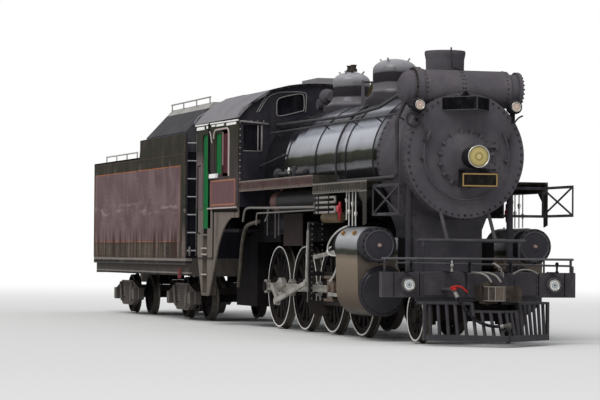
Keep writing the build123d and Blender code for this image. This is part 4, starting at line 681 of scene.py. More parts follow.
def strip(rows, closed=True):
    """A bent bar from rows of four corners, with flat ends; open, it has no side between its last corner and first."""
    mesh = bmesh.new()
    rows = [[mesh.verts.new(at) for at in row] for row in rows]
    for one, two in zip(rows, rows[1:]):
        for k in range(4 if closed else 3):
            after = (k + 1) % 4
            mesh.faces.new((one[k], one[after], two[after], two[k]))
    mesh.faces.new(rows[0])
    mesh.faces.new(rows[-1])
    return finished(mesh)


def hoop(x, width=0.07, radius=boiler_radius + 0.006, proud=0.007, count=96):
    """A band round the boiler: a thin strip bent to its jacket."""
    section = ((-width / 2, radius), (-width / 2, radius + proud), (width / 2, radius + proud), (width / 2, radius))
    turns = [2 * math.pi * k / count for k in range(count + 1)]
    return strip([[(x + dx, r * math.sin(a), boiler_z + r * math.cos(a)) for dx, r in section] for a in turns], False)


band_steel = weathered("band_steel", "2a2a2c", "4f4942", 0.4, 0.2, 0.5, 0, 0.25, 0.2, 2, Metallic=0.2,
                       Specular_Tint=(0.4, 0.4, 0.4, 1))
piece("boiler_bands", joined(*[hoop(x) for x in (3.178, 4.876, 6.563, 8.01)]), band_steel)


# Smokebox
# Rolled plate riveted to a front ring, painted with graphite that has weathered matt.

graphite = weathered("graphite", "555156", "6f6a69", 0.4, 0.2, 0.45, 0.1, 0.6, 0.5, 0.7)
dress(graphite, "smokebox", "smokebox_door", "feedwater_heater", "stack")
dress(weathered("saddle_grey", "59565c", "625d58", 0.4, 0.3, 0.4, 0.2, 0.5, 0.4, 1.5), "cylinder_saddle")
rivet_iron = weathered("rivet_iron", "3a383b", "6a6461", 0.5, 0.1, 0.2, 0.1, 0.5, 0.3, 3)
along("smokebox_front_rivets", [ring((9.438, 0, boiler_z), along_x, 0.925, 64)], 0.105, 0.02, rivet_iron, "graphite")
along("smokebox_shell_rivets", [ring((x, 0, boiler_z), along_x, 0.98, 96) for x in (8.095, 8.15, 9.36)], 0.095, 0.016,
      rivet_iron, "graphite")

conduits = [pipe(run, 0.013) for run in
            ([(9.47, -0.93, 3.52), (9.5, -0.88, 3.52), (9.51, -0.75, 3.42), (9.51, -0.663, 3.21), (9.51, -0.671, 3.016),
              (9.49, -0.706, 2.853), (9.45, -0.71, 2.82)],
             [(9.47, 0.93, 3.52), (9.5, 0.86, 3.5), (9.51, 0.779, 3.413), (9.51, 0.711, 3.238), (9.51, 0.712, 3.043),
              (9.49, 0.667, 2.826), (9.45, 0.66, 2.8)])]
conduits += [tube(ring((9.475, -0.86, 3.43), along_x, radius, 24), 0.011) for radius in (0.115, 0.098)]
conduits += [lathe([(0.034, -0.02), (0.034, 0.03), (0.02, 0.045), (0, 0.047)], (9.46, y, z), along_x, 12)
             for y, z in ((-0.706, 2.84), (0.66, 2.82), (-0.664, 3.12), (0.712, 3.14))]
piece("smokebox_conduits", joined(*conduits), rivet_iron)
rod_run = [(8.9, -0.047, 4.6), (8.9, -0.045, 4.341), (8.9, -0.02, 4.29), (8.9, 0.04, 4.268), (8.9, 0.165, 4.25)]
piece("stack_front_rod", pipe(rod_run, 0.013), rivet_iron)


# Feedwater heater
# A riveted cross drum over the smokebox front, with a bolted flange at each end.

heater_x, heater_z = 9.11, 3.935
flanges = [ring((heater_x, y, heater_z), along_y, radius, 28) for y, radius in ((-0.762, 0.302), (0.985, 0.262))]
along("heater_end_bolts", flanges, 0.066, 0.016, bolt_steel, "graphite", turn=(math.pi / 2, 0, 0), height=0.03)
along("heater_band_rivets", [ring((heater_x, y, heater_z), along_y, 0.29, 40) for y in (-0.6, -0.02, 0.02, 0.72)], 0.07,
      0.012, rivet_iron, "graphite")


# Domes and bell
# Pressed casings over the steam and sand domes, satin black, with a painted reflection in bands round them that is
# palest, a painted highlight, on their crowns.
# The bell is cast brass, dulled, between two posts.

dome_reflection_stops = [(3.74, "323033"), (3.93, "3d3b3e"), (3.98, "716e71"), (4.09, "615f62"), (4.115, "2b292c"),
              (4.27, "333134"), (4.295, "6e6c6f"), (4.4, "8b898c"), (4.47, "a3a1a4")]
dress(reflection_banded_metal("dome_painted_reflection", dome_reflection_stops, 0.02, 0.2, 0.4, 0.15, 0.5, high=4.56, lean=0.04), "domes")
dress(graphite, "boiler_fittings")
dress(weathered("bell_brass", "443b2a", "352d22", 0.6, 0.3, 0.2, 0, 0.3, 0.2, 2, Metallic=0.4,
                Specular_Tint=(0.5, 0.45, 0.35, 1)), "bell")
dress(weathered("valve_bronze", "37322f", "2b2724", 0.5, 0.2, 0.3, 0, 0.4, 0.2, 4, IOR=1.15), "safety_valves")


# Pipes and handrails
# Iron pipe and polished rail clipped to the boiler, some of it lagged and painted over.

pipe_iron = weathered("pipe_iron", "3b3a3d", "66605b", 0.4, 0.2, 0.6, 0.2, 0.35, 0.35, 2, IOR=1.1,
                      areas=[("8b8580", {"X": (6.25, 7.48), "Y": (1.44, 1.5), "Z": (1.98, 2.32)})])
dress(pipe_iron, "pipes")
small_tank = [("6e5f4b", {"X": (6, 6.98), "Y": (1, 1.3), "Z": (1.8, 2.052)}),
              ("5d403d", {"X": (3.1, 3.66), "Y": (1, 1.5), "Z": (2.1, 2.7)})]
dress(weathered("reservoir_black", "1b1a1c", "4f4740", 0.3, 0.3, 0.6, 0.3, 0.35, 0.3, 1.2, areas=small_tank, IOR=1.08),
      "air_reservoirs")
near_black = weathered("near_black", "151417", "3a342e", 0.3, 0.2, 0.4, 0.3, 0.35, 0.3, 3, IOR=1.08)
pipe_pale = weathered("pale_pipe", "716d6a", "5a524a", 0.5, 0.1, 0.2, 0.2, 0.35, 0.3, 4, IOR=1.15)
for side, word in sides:
    feeds = [pipe(upright(side * 1.45, (1.8, 1.93), (1.84, 2.02), (1.9, 2.12), (2.061, 2.174), (2.7, 2.165),
                          (3.447, 2.152), (4.755, 2.141), (6.25, 2.128)), 0.021),
             pipe(upright(side * 1.425, (2.605, 1.86), (2.609, 1.93), (2.628, 2.067), (2.76, 2.069), (3.449, 2.069),
                          (4.757, 2.076), (6.25, 2.08)), 0.014),
             pipe(sideways(side, (3.3, 1.4, 2.13), (3.273, 1.4, 2.059), (3.18, 1.39, 1.99),
                           (3.005, 1.38, 1.927)), 0.014)]
    feeds += [tube(upright(side * 1.2, (x, 2.15), (x, foot)), 0.009) for x, foot in
              ((2.53, 1.673), (3.04, 1.631), (3.26, 1.67))]
    piece(f"feed_pipes_{word}", joined(*feeds), pipe_pale)
    hangers = slabs(side, 1.488, 1.496, *[(x, x + 0.035, 2, 2.33) for x in (6.375, 6.56, 7.13)])
    piece(f"coil_hangers_{word}", hangers, near_black, False)


# Running boards
# Checkered plate with a riveted valance: maroon gone brown on the high length, grey-green on the low one.

board_paint, tree, shader = blank_material("running_board_paint")
ahead = ranged(tree, add(tree, "ShaderNodeSeparateXYZ", {0: own_place(tree)}).outputs["X"], 6.27, 6.29)
board_edges = [(code, {"Y": (1.485, 1.6), "X": run, "Z": span}) for code, run, span in
               (("857b76", (1.5, 6.275), (2.642, 2.665)), ("756b66", (1.5, 6.275), (2.47, 2.486)),
                ("7f7b75", (6.28, 9.2), (2.482, 2.5)), ("77736c", (6.28, 9.2), (2.33, 2.35)))]
tint = painted(tree, mixed(tree, ahead, linear("4d3c3b"), linear("3c3b37")), board_edges)
coat(tree, shader, tint, linear("685c52"), 0.5, 0.5, 0.6, 0, 0.5, 0.5, 1.6)
dress(board_paint, "running_boards")
# Pale rivet heads on the valance: real rivets whose pale colour is a painted highlight.
valance_rivet_highlight = weathered("valance_rivet_highlight", "786f68", "5a5048", 0.5, 0.1, 0.2, 0, 0.4, 0.2, 4)
check_rings = [(0, 0.1), (0.05, 0.085), (0.085, 0.03), (0.09, -0.02), (0.06, -0.07), (0.045, -0.09)]
drum_rings = [(0, 0.25), (0.055, 0.24), (0.062, 0.2), (0.062, -0.2), (0.055, -0.24), (0, -0.25)]
cock_rings = [(0, 0.12), (0.04, 0.11), (0.05, 0.03), (0.03, -0.06), (0.03, -0.1)]
cap_rings = [(0, 0.055), (0.018, 0.05), (0.022, 0.02), (0.034, 0.01), (0.034, -0.01), (0.022, -0.03), (0.022, -0.06)]
for side, word in sides:
    rows = [upright(side * 1.501, (rear, z), (front, z)) for rear, front, z in
            ((1.75, 6.27, 2.63), (1.75, 6.27, 2.5), (6.34, 9.03, 2.482), (6.34, 8.75, 2.362))]
    along(f"valance_rivets_{word}", rows, 0.15, 0.017, valance_rivet_highlight, "maroon")
    check = [lathe(check_rings, (3.397, side * 1.25, 2.745), along_z, 24),
             pipe(sideways(side, (3.48, 1.25, 2.745), (3.72, 1.22, 2.742), (3.9, 1.15, 2.76), (3.95, 1.03, 2.8)),
                  0.036),
             lathe(drum_rings, (4.73, side * 1.21, 2.745), along_x, 24),
             lathe(cock_rings, (4.28, side * 1.22, 2.75), along_z, 16)]
    piece(f"check_valves_{word}", joined(*check), pipe_iron)
    piece(f"check_valve_cap_{word}", lathe(cap_rings, (3.881, side * 1.2, 2.8), along_z, 12), silver)


# Cab
# Riveted steel cab in deep gloss black: windows edged in pale beading over a faded maroon panel,
# a weathered grey roof, and green paint inside.

def side_paint_with_reflection(name, high, low, *areas):
    """Old gloss paint whose base colour turns from one tone above to a warmer one below, a painted reflection of the
    surroundings, with washed dust on it and other paint in given areas.
    """
    material, tree, shader = blank_material(name, IOR=1.025)
    place = own_place(tree)
    height = add(tree, "ShaderNodeSeparateXYZ", {0: place}).outputs["Z"]
    share = ranged(tree, maths(tree, "MULTIPLY_ADD", noise(tree, place, 1.7, 3), 0.5, height), 2.8, 3.8)
    tint = painted(tree, mixed(tree, share, linear(low), linear(high)), areas)
    coat(tree, shader, tint, linear("574e44"), 0.2, 0.3, 0.4, 0.2, 0.3, 0.08, 1.1)
    return material


green, crisp = "1d6638", 0.0005
# On the cab sides the olive tone above, and the mauve below and along the rear strip, are a painted reflection in the
# gloss paint.
dress(side_paint_with_reflection("cab_side_paint", "33332b", "453d3f", ("6d6060", {"X": (-1.3, -0.9), "Z": (1, 3)}, 0.3),
                 (green, {"X": (-1.28, 1.652), "Y": (1.3, 1.4865)}, crisp)), "cab_sides")
dress(side_paint_with_reflection("cab_front_paint", "302f36", "29282f", (green, {"X": (1.5, 1.655), "Y": (-1, 1.482)}, crisp)),
      "cab_front")
dress(side_paint_with_reflection("cab_rear_paint", "25242a", "2b282c",
                 (green, {"X": (-1.2465, -1.1), "Y": (-1, 1.482), "Z": (2.44, 5)}, crisp)), "cab_rear")
dress(weathered("apron_grey", "746b64", "332d29", 0.35, 1, 0.3, 0.3, 0.5, 0.3, 0.6), "aprons")
roof_grey = weathered("roof_grey", "858285", "6b6766", 0.5, 0.2, 0.1, 0, 0.5, 0.4, 0.8)
dress(roof_grey, "cab_roof")
cab_green = weathered("cab_green", green, "24502f", 0.5, 0.3, 0.5, 0, 0.4, 0.2, 2)
dress(weathered("cab_floor_black", "171619", "403933", 0.3, 0.3, 0.5, 0.4, 0.45, 0.4, 1.3,
                areas=[(green, {"Z": (2.445, 2.6)})]), "cab_floor")
beading_pale = weathered("pale_beading", "b9aca5", "6a5a52", 0.45, 0.3, 0.1, 0, 0.4, 0.3, 3)
panel_maroon = weathered("panel_maroon", "6b5052", "4d3d3a", 0.5, 0.5, 0.3, 0, 0.4, 0.3, 2)
line_orange = weathered("line_orange", "b47a56", "7c6650", 0.5, 0.3, 0.2, 0, 0.4, 0.2, 3)
sash_bar = weathered("sash_bar", "8f7979", "5a4646", 0.5, 0.3, 0.3, 0, 0.4, 0.2, 3)
sash_maroon = weathered("sash_maroon", "4a2429", "2d1d1e", 0.5, 0.3, 0.3, 0, 0.35, 0.2, 3)
gutter_white = weathered("gutter_white", "f4f3ef", "b5b1a9", 0.5, 0.2, 0, 0, 0.4, 0.2, 5)
# Near-black glass for the cab's front windows: its darkness is painted shade of the cab's inside behind it.
glass_with_painted_shade = weathered("glass_with_painted_shade", "15141b", "3a3a3e", 0.3, 0.3, 0, 0, 0.06, 0, 2, IOR=1.35)
front_trim = weathered("front_trim", "8c8887", "504a48", 0.6, 0.3, 0.3, 0, 0.4, 0.2, 3)
injector_iron = weathered("injector_iron", "45413b", "6b6253", 0.5, 0.1, 0.6, 0.3, 0.35, 0.2, 3, IOR=1.12)


def frame_bars(low, high, width):
    """The spans of four bars round an opening; low and high are its inner corners."""
    (a0, z0), (a1, z1) = low, high
    return [(a0 - width, a1 + width, z1, z1 + width), (a0 - width, a1 + width, z0 - width, z0),
            (a0 - width, a0, z0, z1), (a1, a1 + width, z0, z1)]


def across(side, x0, x1, *spans):
    """Flat blocks that face forward, each (y0, y1, z0, z1), with y off the middle on one side."""
    return boxes(*[((x0, min(side * y0, side * y1), z0), (x1, max(side * y0, side * y1), z1))
                   for y0, y1, z0, z1 in spans])


def arched(x0, x1, foot, top, corner):
    """Points (x, z) over an opening, round its two upper corners and down its front side."""
    turn = [math.radians(a) for a in range(0, 91, 15)]
    rear = [(x0 + corner - corner * math.cos(a), top - corner + corner * math.sin(a)) for a in turn]
    front = [(x1 - corner + corner * math.sin(a), top - corner + corner * math.cos(a)) for a in turn]
    return rear + front + [(x1, foot)]


def outline_slab(outline, x0, x1):
    """A flat sheet across the locomotive, cut to an outline of (y, z) corners."""
    mesh = bmesh.new()
    one, two = [[mesh.verts.new((x, y, z)) for y, z in outline] for x in (x0, x1)]
    mesh.faces.new(one)
    mesh.faces.new(two)
    for k in range(len(outline)):
        after = (k + 1) % len(outline)
        mesh.faces.new((one[k], one[after], two[after], two[k]))
    return finished(mesh)


# name, depth and height off the middle, material, slot, spans (x0, x1, z0, z1)
cab_slabs = [
    ("door_leaf", 1.488, 1.5, cab_green, "cab_green", [(-0.889, -0.57, 1.815, 3.655)]),
    ("window_green", 1.488, 1.498, cab_green, "cab_green", [(-0.016, 0.43, 2.775, 3.64)]),
    ("sash", 1.488, 1.5, sash_maroon, "maroon",
     [(0.43, 1.08, 2.775, 3.64), (0.45, 1.06, 2.78, 2.84), (0.45, 1.06, 3.56, 3.635)]),
    ("sash_bars", 1.5, 1.512, sash_bar, "maroon", [(0.5, 0.575, 2.98, 3.6), (0.9, 0.975, 2.8, 3.62)]),
    ("armrest", 1.5, 1.575, gutter_white, "roof_grey", [(-0.219, 0.244, 2.754, 2.835)]),
    ("side_panel", 1.528, 1.534, panel_maroon, "maroon", [(-0.25, 1.57, 2.212, 2.72)]),
    ("panel_border", 1.533, 1.537, line_orange, "maroon", frame_bars((-0.19, 2.262), (1.5, 2.69), 0.018)),
    ("pale_seams", 1.528, 1.537, beading_pale, "gloss_black",
     [(-0.5, 1.63, 2.18, 2.205), (-0.93, -0.49, 1.436, 1.456), (-0.91, -0.51, 1.32, 1.342),
      (-0.91, -0.5, 0.94, 0.962)]),
    ("apron_lines", 1.515, 1.5325, near_black, "gloss_black",
     [(-0.075, -0.052, 1.255, 2.158), (-1.287, -0.052, 1.245, 1.266)])]
# edge strips round the upper front window, along the roof over it and beside that, and bars at the lower one
front_runs = [[(0.803, 3.88), (0.816, 4.071), (0.79, 4.16), (0.7, 4.205), (0.415, 4.267), (0.32, 4.27), (0.289, 4.22),
               (0.281, 3.968), (0.34, 3.95), (0.803, 3.831), (0.803, 3.88)],
              [(1.14, 3.928), (1.05, 4.09), (0.969, 4.203), (0.86, 4.262), (0.698, 4.297), (0.273, 4.308),
               (0.235, 4.242), (0.259, 3.938)],
              [(1.185, 3.915), (1.095, 4.08), (1.01, 4.215)]]
front_bars = [(1.168, 1.145, 3.225, 3.682), (1.1, 1.068, 3.225, 3.682), (1.43, 1.068, 3.205, 3.218)]
upper_pane = [(0.27, 3.975), (0.81, 3.835), (0.826, 4.08), (0.756, 4.198), (0.415, 4.272), (0.29, 4.235)]
for side, word in sides:
    beading = tube(upright(side * 1.532, *arched(-0.03, 1.09, 2.77, 3.655, 0.16)), 0.017)
    piece(f"cab_window_beading_{word}", beading, beading_pale)
    for name, deep, proud, material, slot, spans in cab_slabs:
        piece(f"cab_{name}_{word}", slabs(side, deep, proud, *spans), material, False)
    row = sideways(side, (-0.04, 1.528, 2.15), (1.62, 1.528, 2.132))
    along(f"cab_apron_bolts_{word}", [row], 0.13, 0.032, near_black, "gloss_black")
    rails = [tube(sideways(side, (-0.245, 1.53, 3.8), (-0.245, 1.575, 3.77), (-0.24, 1.575, 2.9),
                           (-0.24, 1.53, 2.86)), 0.017),
             tube(sideways(side, (-1.02, 1.53, 3.02), (-1.02, 1.58, 3), (-1.02, 1.58, 1.75),
                           (-1.02, 1.53, 1.72)), 0.013)]
    piece(f"cab_hand_rails_{word}", joined(*rails), near_black)
    grip = pipe(sideways(side, (-0.42, 1.535, 3.64), (-0.3, 1.56, 3.645), (-0.2, 1.56, 3.632), (-0.14, 1.56, 3.56),
                         (-0.115, 1.545, 3.42)), 0.012)
    piece(f"cab_door_grip_{word}", grip, beading_pale)
    gutter = [tube(sideways(side, (-1.35, 1.545, 3.792), (1.74, 1.545, 3.768)), 0.014),
              slabs(side, 1.528, 1.545, (-1.28, -0.72, 3.695, 3.758), (-0.55, -0.42, 3.705, 3.758),
                    (-0.16, 0.1, 3.722, 3.755), (0.2, 0.72, 3.712, 3.752), (0.92, 1.58, 3.7, 3.748))]
    piece(f"cab_gutter_{word}", joined(*gutter), gutter_white, False)
    rows = [sideways(side, (1.702, 1.49, 2.7), (1.702, 1.49, 3.72)),
            sideways(side, (1.702, 1.4, 3.755), (1.702, 1.05, 3.755))]
    along(f"cab_front_rivets_{word}", rows, 0.105, 0.011, beading_pale, "gloss_black")
    front = [pipe([(1.708, side * y, z) for y, z in run], 0.009) for run in front_runs]
    front += [tube(sideways(side, (1.712, 1.5, 3.748), (1.745, 1.48, 3.748), (1.745, 0.98, 3.705),
                            (1.705, 0.965, 3.7)), 0.016),
              across(side, 1.69, 1.712, *front_bars)]
    piece(f"cab_front_trim_{word}", joined(*front), front_trim)
    # The front window panes, near black as painted shade of the inside.
    panes = [outline_slab([(side * y, z) for y, z in upper_pane], 1.64, 1.648),
             across(side, 1.64, 1.648, (1.07, 1.44, 3.208, 3.698))]
    piece(f"cab_front_glass_{word}", joined(*panes), glass_with_painted_shade, False)
    down = upright(side * 1.4, (2.7, 1.925), (2.488, 1.911), (1.972, 1.875), (1.736, 1.791), (1.56, 1.537),
                   (1.501, 1.295), (1.42, 0.98), (1.333, 0.745))
    piece(f"injector_pipe_{word}", pipe(down, 0.034), injector_iron)

rib_line = [(1.552, 3.86), (1.47, 3.98), (1.3, 4.085), (1.05, 4.232), (0.93, 4.322), (0.6, 4.405), (0.3, 4.448)]
rib_line += [(0, 4.462)] + [(-y, z) for y, z in reversed(rib_line)]
rib_section = ((-0.025, -0.02), (-0.025, 0.012), (0.025, 0.012), (0.025, -0.02))
ribs = [strip([[(x + dx, y, z + dz) for dx, dz in rib_section] for y, z in rib_line]) for x in (-1.43, 1.745)]
piece("cab_roof_ribs", joined(*ribs), roof_grey, False)


# Headlight and lamps
# A round electric headlight, two markers and two beam lamps, each with a plated rim and a clear lens.

dress(weathered("lamp_black", "232225", "5d5854", 0.25, 0.1, 0.6, 0.1, 0.33, 0.3, 2, IOR=1.06,
                areas=[("111012", {"X": (9.43, 9.96), "Y": (-1, 0.395), "Z": (3.57, 3.79)})]), "lamps")
plated, tree, shader = blank_material("plated_rim", Metallic=1)
haze = noise(tree, own_place(tree), 40, 4)
feed(tree, shader, {"Base Color": mixed(tree, haze, linear("c9c6bf"), linear("8d8880")),
                    "Roughness": ranged(tree, haze, 0, 1, 0.12, 0.35)})


def lens_material(name, centre, radius, stops):
    """A moulded lens over its reflector: painted reflections in rings round the bulb, under clear glass."""
    material, tree, shader = blank_material(name, Roughness=0.12, IOR=1.3)
    moved, away = centred_radius(tree, centre, (0, 1, 1))
    flutes = add(tree, "ShaderNodeTexWave", {"Vector": moved, "Scale": 22}, bands_direction="Y").outputs[0]
    feed(tree, shader, {"Base Color": ramped(tree, ranged(tree, away, 0, radius), stops),
                        "Normal": bumped(tree, 0.3, 0.002, flutes)})
    return material


def lamp_face(name, centre, radius, stops, rim):
    """A domed lens in a rolled rim on a lamp's front, as two pieces."""
    lens = [(0, radius * 0.1), (radius * 0.45, radius * 0.08), (radius * 0.8, radius * 0.04), (radius * 0.97, 0.002),
            (radius * 0.97, -0.004)]
    glass = lens_material(name + "_glass", centre, radius, stops)
    piece(name + "_lens", lathe(lens, centre, along_x, 48), glass)
    inner, outer = radius * 0.94, radius + rim * 0.9
    rolled = [(inner, 0), (radius * 0.95, rim * 0.7), (radius + rim * 0.35, rim), (outer, rim * 0.45), (outer, 0),
              (inner, 0)]
    piece(name + "_rim", lathe(rolled, centre, along_x, 48), plated)


# Tones in rings for each lens: painted reflections in the reflector, and on the headlight a painted yellow glow round
# the bulb.
headlight_glow_and_reflections = [(0, "5f4a30"), (0.12, "d9cc98"), (0.26, "8f7a42"), (0.55, "b8a86e"), (0.84, "a3945c"), (1, "544d34")]
beam_lamp_reflections = [(0, "4c4f52"), (0.16, "55585b"), (0.3, "c3c6c7"), (0.52, "8b8f90"), (0.74, "eceeed"), (1, "77797a")]
marker_reflections = [(0, "efe2d4"), (0.4, "a88f80"), (0.8, "d9c6b6"), (1, "574c45")]
lamp_face("headlight", (10.032, 0, 2.856), 0.163, headlight_glow_and_reflections, 0.014)
beam_lamp_y, beam_lamp_z = 1.17, 0.908
bezel_rings = [(0.096, -0.004), (0.099, 0.008), (0.108, 0.006), (0.116, -0.01), (0.117, -0.04)]
for side, word in sides:
    lamp_face(f"marker_front_{word}", (9.569, side * 0.785, 3.65), 0.066, marker_reflections, 0.014)
    lamp_face(f"beam_lamp_{word}", (10.232, side * beam_lamp_y, beam_lamp_z), 0.08, beam_lamp_reflections, 0.012)
    # A bezel round each beam lamp, in the pale rim grey as a painted highlight.
    bezel = lathe(bezel_rings, (10.23, side * beam_lamp_y, beam_lamp_z), along_x, 40)
    piece(f"beam_lamp_bezel_highlight_{word}", bezel, rim_highlight_grey)
gold = weathered("tan_gold", "9c8355", "5a4a33", 0.4, 0.2, 0.2, 0, 0.4, 0.2, 4)
plate_black = weathered("plate_black", "1b1a19", "4f473c", 0.3, 0.3, 0.3, 0, 0.35, 0.2, 3)
plate_face = across(1, 10.093, 10.096, (-0.286, 0.286, 2.396, 2.6))
piece("headlight_plate_face", plate_face, plate_black, False)
plate_border = across(1, 10.095, 10.103, *frame_bars((-0.262, 2.418), (0.262, 2.578), 0.02))
piece("headlight_plate_border", plate_border, gold, False)

board_line = weathered("board_line", "55535a", "3a3836", 0.4, 0.2, 0.2, 0, 0.4, 0.2, 4)
wedge = [(9.439, -0.386), (9.926, -0.01), (9.946, 0), (9.926, 0.01), (9.439, 0.386)]
board_foot, board_top = 3.582, 3.781
board = [tube([(x, y, z) for x, y in wedge], 0.006) for z in (board_foot, board_top)]
board += [tube([(x, y, board_foot), (x, y, board_top)], 0.006) for x, y in wedge[::2]]
piece("number_box_edges", joined(*board), board_line, False)
peak = [(-0.11, 3.78), (0.11, 3.78), (0.03, 3.862), (0.012, 3.892), (-0.012, 3.892), (-0.03, 3.862)]
piece("number_box_peak", outline_slab(peak, 9.441, 9.453), plate_black, False)


# Pilot and beam
# A heavy steel beam with the slatted pilot below, step irons, rods and chains, paint worn on the edges.

dress(weathered("beam_black", "454246", "5d5854", 0.35, 0.3, 0.9, 0.1, 0.33, 0.3, 1.2, IOR=1.06), "pilot_beam")
dress(weathered("pilot_black", "3a383c", "56534f", 0.35, 0.1, 0.9, 0.1, 0.33, 0.3, 2, IOR=1.1), "pilot")
brace_areas = [("5e5d60", {"X": (10.03, 10.09), "Z": (1.285, 1.33)}), ("4f4c51", {"X": (9.43, 9.52), "Z": (2.1, 3.3)}),
               ("4b494c", {"X": (9.4, 9.77), "Z": (1.5, 2.05)})]
dress(weathered("brace_black", "3b393d", "5d5854", 0.35, 0.2, 0.7, 0.1, 0.33, 0.3, 2, areas=brace_areas, IOR=1.06),
      "front_braces")
worn_edge = weathered("worn_edge", "8d8883", "4a4038", 0.6, 0.2, 0.3, 0.3, 0.45, 0.4, 3, IOR=1.15)
rod_dark = weathered("rod_dark", "3f3d40", "6b645c", 0.4, 0.1, 0.7, 0, 0.35, 0.3, 3, IOR=1.12)
cock_red = weathered("cock_red", "b3231d", "5f2018", 0.35, 0.1, 0.1, 0, 0.3, 0.2, 8, IOR=1.3)
beam_front = 10.125
rows = [[(beam_front, y, low), (beam_front, y, high)] for y, low, high in
        ((-0.928, 0.79, 1.05), (-1.33, 0.76, 1.08), (0.928, 0.79, 1.05), (1.4, 0.76, 1.08))]
along("pilot_beam_bolts", rows, 0.065, 0.01, rod_dark, "satin_black", turn=face_forward)
seams = across(1, beam_front - 0.004, beam_front + 0.003,
               *[(y - 0.006, y + 0.006, 0.735, 1.088) for y in (-1.376, -0.966, -0.225, 0.952, 1.376)])
piece("beam_seams", seams, near_black, False)
rod_x = 10.34
lift_rod = [(rod_x, -1.395, 1.15), (rod_x, -1.416, 1.2), (rod_x, -1.385, 1.236), (rod_x, 1.385, 1.203),
            (rod_x, 1.42, 1.18), (10.3, 1.425, 0.78)]
piece("uncoupling_rod", tube(lift_rod, 0.017), rod_dark)
bracket_rings = [(0, 0.03), (0.02, 0.024), (0.03, 0), (0.02, -0.024), (0.016, -0.1), (0.026, -0.115), (0.026, -0.13),
                 (0, -0.13)]
brackets = [lathe(bracket_rings, (rod_x, y, 1.232), along_z, 14) for y in (-1.18, -0.255, 0.4, 1.16)]
lugs = across(1, 9.98, 10.355, *[(y - 0.028, y + 0.028, 1.096, 1.11) for y in (-1.18, -0.535, -0.255, 0.4, 1.16)])
piece("uncoupling_rod_brackets", joined(lugs, *brackets), near_black, False)
valve_rings = [(0, 0.17), (0.012, 0.165), (0.012, 0.12), (0.026, 0.11), (0.026, 0.08), (0.014, 0.07), (0.014, 0.02),
               (0.03, 0), (0, 0)]
piece("beam_top_valve", lathe(valve_rings, (10.345, -0.535, 1.108), along_z, 16), coupling_iron)
fittings = [pipe([(10.2, 0.503, 1.07), (10.2, 0.56, 1.118), (10.2, 0.697, 1.154), (10.2, 0.84, 1.125),
                  (10.2, 0.909, 1.08)], 0.012),
            pipe([(10.36, 0.11, 1.225), (10.5, 0.075, 1.245), (10.6, 0.09, 1.205), (10.62, 0.125, 1.18)], 0.015)]
fittings += [pipe([(10.1, y, 1.09), (10.3, y + 0.01, 1.1), (10.55, y + 0.03, 1.082), (10.7, y + 0.07, 1.035),
                   (10.74, y + 0.1, 0.955)], 0.016) for y in (-0.15, 0)]
link_rings = [(0.016, 0), (0.024, 0.006), (0.03, 0), (0.024, -0.006), (0.016, 0)]
lengthwise, crosswise = (1, 0.3, 0), (0.2, 1, 0)
fittings += [lathe(link_rings, (10.62, y, z), way, 14) for y, z, way in
             ((0.13, 1.16, lengthwise), (0.15, 1.122, crosswise), (0.17, 1.085, lengthwise),
              (0.182, 1.048, crosswise))]
piece("beam_hooks", joined(*fittings), worn_edge)
nose = [(10.82, -0.202), (11, -0.19), (11.09, -0.12), (11.105, 0.01), (11.06, 0.05), (11, 0.02)]
nose_edges = [tube([(x, y, z) for x, y in nose], 0.0055) for z in (0.684, 0.892)]
nose_edges += [tube([(x, y, 0.684), (x, y, 0.892)], 0.0055) for x, y in nose[1:5]]
piece("knuckle_worn_edges", joined(*nose_edges), worn_edge, body="knuckle_front")
cock_cap_rings = [(0.046, 0), (0.05, 0.016), (0.044, 0.036), (0.026, 0.056), (0, 0.062)]
handle = [(10.65, -0.665, 0.868), (10.655, -0.6, 0.9), (10.668, -0.52, 0.893), (10.672, -0.45, 0.853),
          (10.672, -0.405, 0.803)]
cock = joined(lathe(cock_cap_rings, (10.619, -0.6, 0.836), along_z, 24), pipe(handle, 0.013))
piece("angle_cock_handle", cock, cock_red)


# Tender
# A riveted water tank with a slope-sided oil bunker on top and four-wheel trucks below.
# The side panel is maroon, bleached and streaked, inside a thin orange line; the rest is black.

panel_rear, panel_front, panel_low, panel_high = -10.55, -2.61, 1.588, 3.058
tender_paint, tree, shader = blank_material("tender_paint", IOR=1.03)
place = own_place(tree)
spot = add(tree, "ShaderNodeSeparateXYZ", {0: place}).outputs
on_side = ranged(tree, maths(tree, "ABSOLUTE", spot["Y"]), 1.52, 1.53)


def panel_area(grow):
    """One on the side panel, grown all round."""
    length = inside(tree, spot["X"], panel_rear - grow, panel_front + grow)
    return maths(tree, "MULTIPLY", length, inside(tree, spot["Z"], panel_low - grow, panel_high + grow))


panel = panel_area(0)
line_area = maths(tree, "MULTIPLY", maths(tree, "SUBTRACT", panel_area(0.016), panel), on_side)
faded = ranged(tree, noise(tree, place, 0.9, 7, 0.65), 0.4, 0.62)
# The black on the tank's sides takes an olive tone, a painted reflection in the gloss paint; its other faces stay plain
# black.
base = mixed(tree, on_side, linear("1c1b20"), linear("302e27"))
maroon = mixed(tree, faded, linear("644f52"), linear("726061"))
base = mixed(tree, maths(tree, "MULTIPLY", panel, on_side), base, maroon)
base = mixed(tree, line_area, base, linear("a5643a"))
